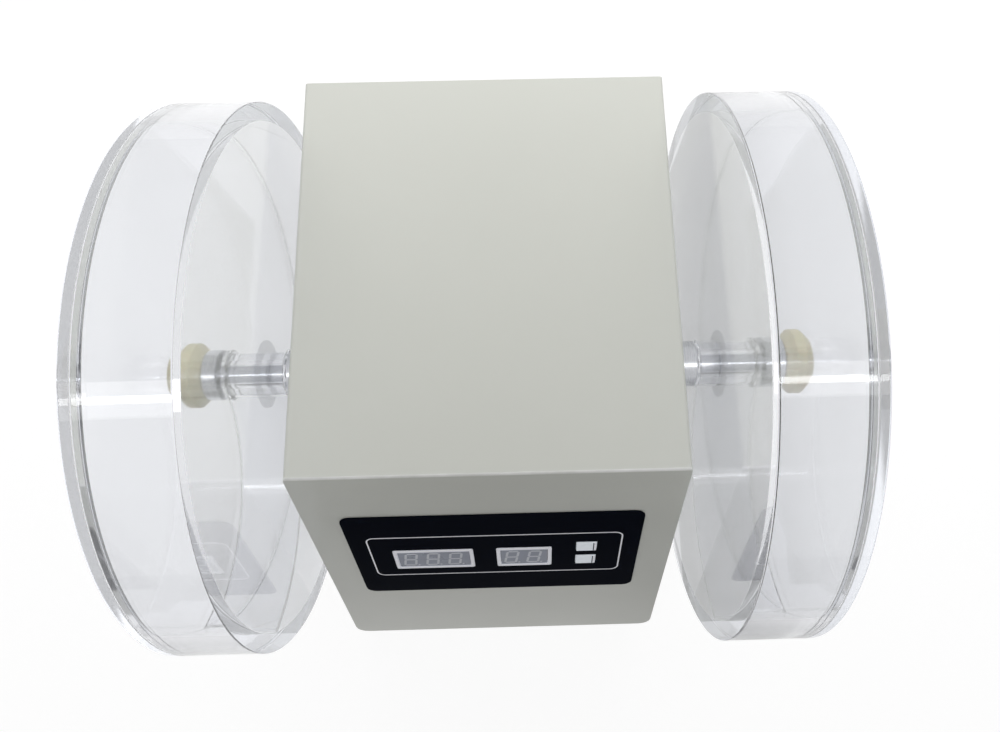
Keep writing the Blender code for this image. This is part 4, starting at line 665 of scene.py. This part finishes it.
def make_finish(name, slot):
    scene = bpy.context.scene
    metal, casing, panel = scene.tester_metal, scene.tester_casing, scene.tester_panel
    plain, turning = plain_finish, "turning lines"
    # In each row: maker, colour, roughness, kind and scale of the relief, its depth, what that maker adds
    maker, *values = {
        "cream_enamel": (enamel_finish, casing.enamel),
        "label_film": (plain, panel.film, 0.36, 2500, 0.000006, 0, {"Specular_IOR_Level": 0.003}),
        # the border print, the bezels and the keys carry a painted glow
        "border print": (plain, panel.print_colour, 0.45, 2500, 0.000004, painted_glow(panel.print_colour, 0.15)),
        "bezel_plastic": (plain, panel.bezel, 0.38, 2200, 0.000004, painted_glow(panel.bezel, 0.14)),
        "display_face": (plain, panel.window, 0.30, 2600, 0.000004),
        "digit bars": (plain, panel.digit, 0.35, 2600, 0.000004),
        "key_plastic": (plain, panel.key, 0.40, 2200, 0.000004, painted_glow(panel.key, 0.20)),
        "clear_acrylic": (clear_finish, scene.tester_drums),
        "hub disc": (hub_disc_finish,),
        "cream_nylon": (plain, metal.nylon, 0.45, 900, 0.00002, {"Subsurface_Weight": 0.1}),
        "turned_steel": (metal_finish, metal.steel, 0.20, turning, 5000, 0.000004),
        "aluminium": (metal_finish, metal.aluminium, 0.24, turning, 4000, 0.000006),
        "screws": (metal_finish, (0.52, 0.53, 0.55), 0.28, turning, 3000, 0.000004),
        "brass": (metal_finish, (0.70, 0.50, 0.20), 0.28, turning, 3500, 0.000006),
        "frame_steel": (metal_finish, (0.50, 0.51, 0.52), 0.40, "drawn lines", 60, 0.000008),
        "black_rubber": (plain, (0.018, 0.018, 0.018), 0.80, 700, 0.00006),
        "black_plastic": (plain, (0.018, 0.018, 0.020), 0.45, 1800, 0.00002),
        "circuit_board": (board_finish,),
        "copper_winding": (striped_finish, (0.60, 0.24, 0.08), 0.8, 0.35, 0.0007, "Z", 0.0002),
        "core_iron": (striped_finish, (0.13, 0.13, 0.14), 0.6, 0.50, 0.0005, "Y", 0.00008),
    }[slot]
    added = values.pop() if values and isinstance(values[-1], dict) else {}
    maker(name, *values, **added)


# Drums

def reach_of(node, side):
    """A node's near and far end along the shaft, as distances from the middle of the casing."""
    low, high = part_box(node)
    return sorted(side * (end - CASING_X) for end in (low[0], high[0]))


def radius_of(node):
    low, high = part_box(node)
    return (high[2] - low[2]) / 2


def sleeve(ends, bore, outer):
    """The outline of a ring or rod between two ends."""
    near, far = ends
    return [(near, bore), (near, outer), (far, outer), (far, bore)]


def drum_shell(name, side, drums):
    """Wall, ring and hub tube as the one bonded body that they are, with a flared tube end."""
    nodes = ring, wall, tube = [name + part for part in ("_drum_ring", "_drum_wall", "_hub_tube")]
    near, inside = reach_of(wall, side)
    end, tube_end = reach_of(ring, side)[1], reach_of(tube, side)[1]
    outer, hub = radius_of(ring), radius_of(tube)
    bore = outer - drums.ring_thickness
    flare = tube_end - drums.flare_length
    corners = [(near, SHAFT_HOLE), (near, outer), (end, outer), (end, bore), (inside, bore), (inside, hub),
               (flare, hub), (flare, drums.flare_radius), (tube_end, drums.flare_radius),
               (tube_end, SHAFT_HOLE)]
    edge = drums.edge
    radii = (edge / 2, edge, edge, edge / 2, edge / 2, drums.glue_fillet, edge, edge * 2, edge * 2, edge / 2)
    turned(name + "_drum_shell", ring, side, corners, radii, nodes, segments=drums.segments)


def drum_cover(name, side, drums):
    """The cover disc, whose spigot drops into the ring."""
    node = name + "_drum_cover"
    spigot_end, face = reach_of(node, side)
    seat = reach_of(name + "_drum_ring", side)[1] + SEAT
    outer = radius_of(node)
    spigot = outer - drums.ring_thickness - SEAT
    corners = [(face, SHAFT_HOLE), (face, outer), (seat, outer), (seat, spigot), (spigot_end, spigot),
               (spigot_end, SHAFT_HOLE)]
    edge = drums.edge
    radii = (edge / 2, edge * COVER_EDGE_SHARE, edge, FINE, edge / 2, edge / 2)
    turned(name + "_cover_disc", node, side, corners, radii, segments=drums.segments)


def drum_vane(name, side, drums):
    """The curved vane: two arcs about one centre, from the hub tube to the ring, carried along the shaft.

    A point at angle a on radius r is (-(middle + r sin a), depth - r cos a) from the shaft.
    """
    near = radius_of(name + "_hub_tube") + SEAT
    far = radius_of(name + "_drum_ring") - drums.ring_thickness - SEAT
    middle = (near + far) / 2
    inner = drums.vane_radius
    depth = math.sqrt(inner ** 2 - ((far - near) / 2) ** 2)
    distance = math.hypot(middle, depth)
    lean = math.atan2(depth, middle)
    arcs = []
    for radius in (inner, inner + drums.vane_thickness):
        first, last = (lean + math.asin((reach ** 2 - distance ** 2 - radius ** 2) / (2 * radius * distance))
                       for reach in (near, far))
        angle = first + (last - first) * np.linspace(0, 1, VANE_STEPS + 1)
        arcs.append(np.stack([-(middle + radius * np.sin(angle)), depth - radius * np.cos(angle)], axis=-1))
    node = name + "_drum_vane"
    (low, _, _), (high, _, _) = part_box(node)
    section = [(VANE_EDGE, low), (0, low + VANE_EDGE), (0, high - VANE_EDGE), (VANE_EDGE, high)]
    slab(name + "_vane", node, [np.vstack([arcs[1], arcs[0][::-1]])], section, (node,),
         place=lambda points: points[..., [2, 0, 1]] + AXIS)


def hub_disc(name, side, drums):
    """The thin grey disc on the hub tube."""
    node = name + "_hub_flange"
    outline = sleeve(reach_of(node, side), radius_of(name + "_hub_tube") + SEAT, radius_of(node))
    turned(name + "_hub_disc", node, side, outline, DISC_ROUNDING, look="hub disc", segments=128)


class BuildDrums(bpy.types.Operator):
    """Builds both clear drums: bonded shell, cover, vane and hub disc"""
    bl_idname = "tester.drums"
    bl_label = "Clear drums"

    def execute(self, context):
        for name, side in SIDES:
            for build in (drum_shell, drum_cover, drum_vane, hub_disc):
                build(name, side, context.scene.tester_drums)
        return {"FINISHED"}


class BuildShaftLine(bpy.types.Operator):
    """Builds the shaft, its collars with drive pins and the stop rings"""
    bl_idname = "tester.shaft_line"
    bl_label = "Shaft line"

    def execute(self, context):
        node = "main_shaft"
        turned("shaft", node, 1, sleeve(reach_of(node, 1), 0, SHAFT_RADIUS), (0, SHAFT_ENDS, SHAFT_ENDS, 0))
        for name, side in SIDES:
            node = name + "_drive_collar"
            near, tip = reach_of(node, side)
            far = reach_of(name + "_drum_wall", side)[0] - SEAT
            outline = sleeve((near, far), SHAFT_SEAT, radius_of(node))
            turned(name + "_collar", node, side, outline, COLLAR_ROUNDING)
            for number, way in enumerate((-1, 1), 1):
                turned(f"{name}_pin_{number}", node, side, sleeve((far - PIN_SUNK, tip), 0, PIN_RADIUS),
                       PIN_ROUNDING, (), segments=32, centre=AXIS + (0, 0, way * PIN_CIRCLE))
            node = name + "_stop_ring"
            turned(name + "_stop", node, side, sleeve(reach_of(node, side), SHAFT_SEAT, radius_of(node)),
                   STOP_ROUNDING, segments=64)
        return {"FINISHED"}


class BuildClamps(bpy.types.Operator):
    """Builds each drum's washer and cream nut"""
    bl_idname = "tester.clamps"
    bl_label = "Clamp washers and nuts"

    def execute(self, context):
        rounding = context.scene.tester_metal.nut_rounding
        for name, side in SIDES:
            node = name + "_clamp_washer"
            turned(name + "_washer", node, side, sleeve(reach_of(node, side), SHAFT_HOLE, radius_of(node)),
                   WASHER_ROUNDING, segments=128)
            node = name + "_clamp_nut"
            near, far = reach_of(node, side)
            outer = radius_of(node)
            rim, blind = outer - NUT_CHAMFER, near + NUT_BORE_DEPTH
            corners = [(near, SHAFT_SEAT), (near, rim), (near + NUT_CHAMFER, outer),
                       (far - NUT_CHAMFER, outer), (far, rim), (far, 0), (blind, 0), (blind, SHAFT_SEAT)]
            radii = (NUT_MOUTH, rounding, rounding, rounding, rounding, 0, 0, FINE)
            turned(name + "_nut", node, side, corners, radii, segments=128, steps=8)
        return {"FINISHED"}


# Casing

class BuildCasing(bpy.types.Operator):
    """Rounds the folded casing's edges"""
    bl_idname = "tester.casing"
    bl_label = "Casing"

    def execute(self, context):
        softened("casing_shell", context.scene.tester_casing.edge)
        return {"FINISHED"}


class BuildFittings(bpy.types.Operator):
    """Rounds the edges of panels, fittings, boards and drive pieces, and gives the front label its film"""
    bl_idname = "tester.fittings"
    bl_label = "Fittings and inner pieces"

    def execute(self, context):
        for node, width in SOFT_EDGES.items():
            softened(node, width * TENTH)
        materials = frame["nodes"]["front_label"].data.materials
        materials.clear()
        materials.append(finish("label_film"))
        return {"FINISHED"}


# Front panel

def panel_points(mesh):
    """A mesh's points: across, up the slope, outwards."""
    places = np.empty(len(mesh.vertices) * 3)
    mesh.vertices.foreach_get("co", places)
    return (places.reshape(-1, 3) - PANEL_ORIGIN) @ PANEL_AXES.T


def corners_of(node):
    return panel_points(frame["nodes"][node].data)


def middle_and_size(node):
    """The middle and the size of a front node on the panel."""
    points = corners_of(node)[:, :2]
    return (points.min(axis=0) + points.max(axis=0)) / 2, np.ptp(points, axis=0)


def label_top():
    return float(corners_of("front_label")[:, 2].max())


def border_line(panel):
    """The printed border on the film."""
    low, high = label_top(), label_top() + FINE
    outer = np.array([*BORDER_SIZE, BORDER_CORNER])
    inner = outer - panel.border_width * np.array([2, 2, 1])
    levels = [(*outer, low), (*outer, high), (*inner, high), (*inner, low)]
    banded("border_line", "front_label", (0, -BORDER_DOWN), levels, look="border print")


def window(name, digits, panel):
    """A low bright frame with a painted glow round a grey face with unlit digits."""
    bezel, display = name + "_bezel", name + "_display"
    middle, outer = middle_and_size(bezel)
    low, top = label_top() - WINDOW_SUNK, label_top() + panel.bezel_height
    edge, inner = 2 * WINDOW_CHAMFER, outer - 2 * panel.bezel_border
    first, second, third, last = WINDOW_CORNERS
    levels = [(*outer, first, low), (*outer, first, top - WINDOW_CHAMFER), (*(outer - edge), second, top),
              (*(inner + edge), third, top), (*inner, last, top - WINDOW_CHAMFER), (*inner, last, low)]
    banded(name + "_window_frame", bezel, middle, levels, (bezel,))
    face = label_top() + panel.face_height
    centre, extent = middle_and_size(display)
    outline = rectangle(*extent, FACE_CORNER, centre)
    slab(name + "_face", display, [outline], [(0, low), (0, face)], (display,))
    shift = (np.arange(digits) - (digits - 1) / 2) * panel.digit_pitch - DIGIT_SHIFT
    middles = np.stack([middle[0] + shift, np.full(digits, middle[1])], axis=-1)
    slab(name + "_digits", display, digit_bars(middles, panel), [(0, face - FINE), (0, face + FINE)],
         look="digit bars")


def key_cap(name, panel):
    """A low pale key with a painted shade line and a painted highlight strip along its right edge, in a surround
    of film.

    The cap of the CAD key is drawn in from its right side and its foot, in proportion to the place on it,
    and its top is drawn down.
    """
    node = name + "_key"
    points = corners_of(node)
    upper_from = points[:, 2].max() - 2 * FINE
    upper = points[:, 2] > upper_from
    foot = points[~upper, 2].max()
    low, high = points[upper, :2].min(axis=0), points[upper, :2].max(axis=0)
    mesh = softened(node, KEY_ROUNDING).data
    flat = panel_points(mesh)
    cap = (flat[:, 2] > foot - FINE) & ((flat[:, :2] > low - FINE) & (flat[:, :2] < high + FINE)).all(axis=1)
    parts = (flat[cap, :2] - low) / (high - low)
    flat[cap, 0] -= panel.key_side * parts[:, 0]
    flat[cap, 1] += panel.key_foot * (1 - parts[:, 1])
    top = label_top() + panel.key_height
    flat[flat[:, 2] > upper_from, 2] = top
    mesh.vertices.foreach_set("co", panel_place(flat).reshape(-1))
    low, high = low + (0, panel.key_foot), high - (panel.key_side, 0)
    (x, y), (width, height) = (low + high) / 2, high - low
    section, tall = [(0, top - 2 * FINE), (0, top + FINE)], height - KEY_MARGINS
    # a strip of film is a painted shade line, and a strip of bright plastic beside it a painted highlight, where
    # the key's right bevel would be
    painted_shade_line = rectangle(KEY_SHADE_LINE, tall, LINE_CORNER, (x + width / 2 - KEY_HIGHLIGHT_STRIP - KEY_SHADE_LINE, y))
    slab(name + "_line", node, [painted_shade_line], section, look="label_film")
    bright = rectangle(KEY_HIGHLIGHT_STRIP, tall, STRIP_CORNER, (x + (width - KEY_HIGHLIGHT_STRIP) / 2 - KEY_STRIP_INSET, y))
    slab(name + "_strip", node, [bright], section, look="bezel_plastic")
    film = corners_of("front_label")[:, 2]
    spare = 2 * KEY_HOLE_GAP - FINE
    hole = width + panel.key_side + spare, height + panel.key_foot + spare, HOLE_CORNER
    opening = width + 2 * SEAT, height + 2 * SEAT, OPENING_CORNER
    levels = [(*hole, film.min()), (*hole, film.max()), (*opening, film.max(), (x, y)),
              (*opening, film.min(), (x, y))]
    banded(name + "_surround", "front_label", middle_and_size(node)[0], levels)


def digit_bars(middles, panel):
    """Seven pointed bars and a dot for each digit, sheared to the right as they rise.

    A bar is a hexagon along its line. A dot is a hexagon of the same number of points.
    """
    half_width = (panel.digit_width - panel.bar) / 2
    half_height = (panel.digit_height - panel.bar) / 2
    half = panel.bar / 2
    lines = np.array([[-1, 1, 1, 1], [-1, 0, 1, 0], [-1, -1, 1, -1], [-1, 0, -1, 1], [-1, -1, -1, 0],
                      [1, 0, 1, 1], [1, -1, 1, 0]], float).reshape(-1, 2, 2) * (half_width, half_height)
    along = unit(lines[:, 1] - lines[:, 0])
    side = np.stack([-along[:, 1], along[:, 0]], axis=-1)
    first, last = lines[:, 0] + along * DIGIT_GAP, lines[:, 1] - along * DIGIT_GAP
    bars = np.stack([first, first + (along - side) * half, last - (along + side) * half, last,
                     last - (along - side) * half, first + (along + side) * half], axis=1)
    angle = np.arange(6) * math.tau / 6
    hexagon = half * np.stack([np.cos(angle), np.sin(angle)], axis=-1)
    dot = hexagon + (half_width + DOT_ASIDE, -half_height)
    shapes = np.concatenate([bars, dot[None]])
    shapes = shapes + shapes[..., 1:] * np.array([math.tan(DIGIT_SLANT), 0])
    return (middles[:, None, None] + shapes[None]).reshape(-1, 6, 2)


class BuildPanel(bpy.types.Operator):
    """Builds the printed border, the display windows with their unlit digits, and the keys"""
    bl_idname = "tester.panel"
    bl_label = "Front panel"

    def execute(self, context):
        panel = context.scene.tester_panel
        border_line(panel)
        window("revolutions", 3, panel)
        window("speed", 2, panel)
        key_cap("start", panel)
        key_cap("reverse", panel)
        return {"FINISHED"}


# Screws

def screw_heads(name, node, places, axes):
    """A piece of pan heads with a cross recess; the axes are each head's across, up and out.

    With the share s of the radius and the turn t, the head stands height (1 - fall s^4) off its seat, less
    the recess, which is deepest where the smaller of |x| and |y| is zero and ends where the larger reaches
    the arm's end.
    """
    casing = bpy.context.scene.tester_casing
    radius, height = casing.screw_radius, casing.screw_height
    shares = np.concatenate([np.linspace(0, 1, HEAD_RINGS), [1.0, 0.0]])
    turn = np.linspace(0, math.tau, HEAD_TURNS, endpoint=False)
    x = radius * shares[:, None] * np.cos(turn)
    y = radius * shares[:, None] * np.sin(turn)
    dome = height * (1 - HEAD_FALL * shares[:, None] ** 4) * np.ones_like(x)
    near, far = np.minimum(np.abs(x), np.abs(y)), np.maximum(np.abs(x), np.abs(y))
    arms = np.clip(RECESS_BREADTH - near / (RECESS_SIDE * radius), 0, 1)
    ends = np.clip((RECESS_REACH * radius - far) / (RECESS_END * radius), 0, 1)
    dome -= RECESS_DEPTH * height * arms * ends
    dome[-2:] = 0
    head = np.stack([x, y, dome], axis=-1)
    points = np.array(places)[:, None, None] + head[None] @ np.array(axes)
    rows, columns = x.shape
    faces = sum((grid_faces(rows, columns, False, number * x.size) for number in range(len(places))), [])
    piece(name, finished_mesh(name, points, faces), node, look="screws")


class BuildScrews(bpy.types.Operator):
    """Builds the pan-head screws of the rear panel, base plate and bearing housings"""
    bl_idname = "tester.screws"
    bl_label = "Screws"

    def execute(self, context):
        width, depth, height = CASING_SIZE
        rear_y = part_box("rear_panel")[1][1]
        across, up = width / 2 - REAR_SCREW_INSET, height / 2 - REAR_SCREW_INSET
        places = [(CASING_X + side * across, rear_y, CASING_Z + rise * up)
                  for side in (-1, 1) for rise in (-1, 0, 1)]
        screw_heads("rear_screws", "rear_panel", places, [[-1, 0, 0], [0, 0, 1], [0, 1, 0]])
        across = width / 2 - BASE_SCREW_INSET
        places = [(CASING_X + side * across, CASING_Y + portion * depth, CASING_LOW[2])
                  for side in (-1, 1) for portion in BASE_SCREW_SHARES]
        screw_heads("base_screws", "base_plate", places, [[1, 0, 0], [0, -1, 0], [0, 0, -1]])
        angles = HOUSING_SCREW_START + math.tau * np.arange(3) / 3
        circle = AXIS + HOUSING_SCREW_CIRCLE * np.stack([0 * angles, np.cos(angles), np.sin(angles)], axis=-1)
        for name, side in SIDES:
            node = name + "_bearing_housing"
            face = CASING_X + side * reach_of(node, side)[1]
            screw_heads(name + "_housing_screws", node, circle + (face, 0, 0),
                        [[0, side, 0], [0, 0, 1], [side, 0, 0]])
        return {"FINISHED"}


# Stage

def make_camera():
    """The photograph's viewpoint: place, tilt, pan and roll, and a small shift for off-centre framing."""
    tilt, pan, roll = (math.radians(value) for value in (CAMERA_TILT_DOWN, CAMERA_PAN, CAMERA_ROLL))
    forward = Vector((math.sin(pan) * math.cos(tilt), math.cos(pan) * math.cos(tilt), -math.sin(tilt)))
    right = Vector((math.cos(pan), -math.sin(pan), 0))
    down = forward.cross(right)
    rolled_right = math.cos(roll) * right + math.sin(roll) * down
    rolled_down = math.cos(roll) * down - math.sin(roll) * right
    data = bpy.data.cameras.new("photo_camera")
    data.sensor_width = FILM_WIDTH
    data.lens = LENS
    data.shift_x = (IMAGE_WIDTH / 2 - PRINCIPAL_X) / IMAGE_WIDTH
    data.shift_y = (PRINCIPAL_Y - IMAGE_HEIGHT / 2) / IMAGE_WIDTH
    data.clip_start = 0.01
    camera = placed("photo_camera", data)
    turn = Matrix((rolled_right, -rolled_down, -forward)).transposed()
    camera.matrix_world = Matrix.Translation(CAMERA_PLACE) @ turn.to_4x4()
    bpy.context.scene.camera = camera


def make_lamp(name, place, target, spread, power, mirrored):
    """A soft rectangular lamp that faces its target, with its long side along X."""
    data = bpy.data.lights.new(name, "AREA")
    data.shape = "RECTANGLE"
    data.size, data.size_y = spread
    data.energy = power
    lamp = placed(name, data)
    back = (Vector(place) - Vector(target)).normalized()
    right = Vector((0, 1, 0)).cross(back).normalized()
    turn = Matrix((right, back.cross(right), back)).transposed()
    lamp.matrix_world = Matrix.Translation(place) @ turn.to_4x4()
    lamp.visible_camera = False
    lamp.visible_glossy = lamp.visible_transmission = mirrored


def make_floor(stage):
    """A pale disc: points (r cos a, r sin a, 0).

    It shows nearly white and keeps a share of its shadow. What it throws back falls off ahead of the tester, a
    painted shade, and to the right of the casing it carries a painted shadow, which camera rays don't see.
    """
    angle = np.linspace(0, math.tau, FLOOR_TURNS, endpoint=False)
    reach = FLOOR_RINGS[:, None]
    points = np.stack([reach * np.cos(angle), reach * np.sin(angle), 0 * reach * angle], axis=-1)
    mesh = finished_mesh("floor", points, grid_faces(len(reach), len(angle), False))
    tree = new_finish("finish floor", Specular_IOR_Level=0.1)
    path = add(tree, "LightPath").outputs
    axes = object_axes(tree)
    # painted shade: ahead of the tester the floor's colour, and its white light in reflections, fall off
    near = mapped(tree, axes["Y"], *PAINTED_FAR_SHADE_Y, stage.painted_far_shade, 1.0)
    # painted shadow: a band to the right of the casing dims the floor's white light for all but camera rays
    aside = maths(tree, "ADD", mapped(tree, axes["X"], *PAINTED_SHADE_BEGINS, 1.0, stage.painted_right_shade),
                  mapped(tree, axes["X"], *PAINTED_SHADE_ENDS, 0.0, (1 - stage.painted_right_shade) * PAINTED_SHADE_LIFTED))
    straight = most(tree, path["Is Camera Ray"], path["Is Transmission Ray"])
    seen = most(tree, straight, times(tree, path["Is Glossy Ray"], near))
    toned = add(tree, "VectorMath", {0: tinted(tree, stage.floor, 0.01, 3)}, operation="SCALE")
    tree.links.new(most(tree, straight, near), toned.inputs["Scale"])
    feed(tree, Base_Color=toned.outputs["Vector"],
         Roughness=use(tree, "smudges", Scale=4, Low=0.8, High=0.9))
    strength = times(tree, most(tree, path["Is Camera Ray"], aside), stage.white)
    white = add(tree, "Emission", {"Color": (1, 1, 1, 1), "Strength": strength})
    blend = add(tree, "MixShader", {0: times(tree, seen, FLOOR_WHITE),
                                    1: tree.nodes["Principled BSDF"].outputs["BSDF"],
                                    2: white.outputs["Emission"]})
    tree.links.new(blend.outputs["Shader"], tree.nodes["Material Output"].inputs["Surface"])
    mesh.materials.append(bpy.data.materials["finish floor"])
    floor = placed("floor", mesh)


def make_world(stage):
    """Plain pale surroundings, brighter to straight rays than as a light."""
    world = bpy.data.worlds.new("pale studio")
    world.use_nodes = True
    tree = world.node_tree
    path = add(tree, "LightPath").outputs
    bright = most(tree, path["Is Camera Ray"], times(tree, path["Is Transmission Ray"], SEEN_THROUGH))
    bright = most(tree, bright, times(tree, path["Is Glossy Ray"], stage.mirrored))
    background = tree.nodes["Background"]
    background.inputs["Color"].default_value = (1, 1, 1, 1)
    tree.links.new(mapped(tree, bright, 0.0, 1.0, stage.ambient, 1.0), background.inputs["Strength"])
    bpy.context.scene.world = world


class BuildStage(bpy.types.Operator):
    """Sets the camera, lamps, floor and surroundings"""
    bl_idname = "tester.stage"
    bl_label = "Stage"

    def execute(self, context):
        stage = context.scene.tester_stage
        make_camera()
        make_floor(stage)
        make_world(stage)
        for name, place, target, spread, power, mirrored in LAMPS:
            make_lamp(name, place, target, spread, getattr(stage, power), mirrored)
        context.scene.view_settings.view_transform = "Standard"
        return {"FINISHED"}


class TesterSidebar(bpy.types.Panel):
    """Lists the steps that build the tester's looks"""
    bl_idname = "VIEW3D_PT_tester"
    bl_label = "Tablet friability tester"
    bl_space_type = "VIEW_3D"
    bl_region_type = "UI"
    bl_category = "Tester"

    def draw(self, context):
        for step in STEPS:
            self.layout.operator(step.bl_idname)
        for name, kind in SETTINGS:
            box = self.layout.box()
            for label in kind.__annotations__:
                box.prop(getattr(context.scene, name), label)


SETTINGS = (("tester_drums", TesterDrums), ("tester_metal", TesterMetal), ("tester_casing", TesterCasing),
            ("tester_panel", TesterPanel), ("tester_stage", TesterStage))
STEPS = (BuildStage, BuildCasing, BuildFittings, BuildPanel, BuildDrums, BuildShaftLine, BuildClamps,
         BuildScrews)


def register():
    for name, kind in SETTINGS:
        bpy.utils.register_class(kind)
        setattr(bpy.types.Scene, name, PointerProperty(type=kind))
    for kind in (*STEPS, TesterSidebar):
        bpy.utils.register_class(kind)


def unregister():
    for kind in (TesterSidebar, *reversed(STEPS)):
        bpy.utils.unregister_class(kind)
    for name, kind in reversed(SETTINGS):
        delattr(bpy.types.Scene, name)
        bpy.utils.unregister_class(kind)


def main():
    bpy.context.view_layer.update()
    register()
    make_groups()
    bpy.ops.tester.stage()
    bpy.ops.tester.casing()
    bpy.ops.tester.fittings()
    bpy.ops.tester.panel()
    bpy.ops.tester.drums()
    bpy.ops.tester.shaft_line()
    bpy.ops.tester.clamps()
    bpy.ops.tester.screws()


if __name__ == "__main__":
    main()
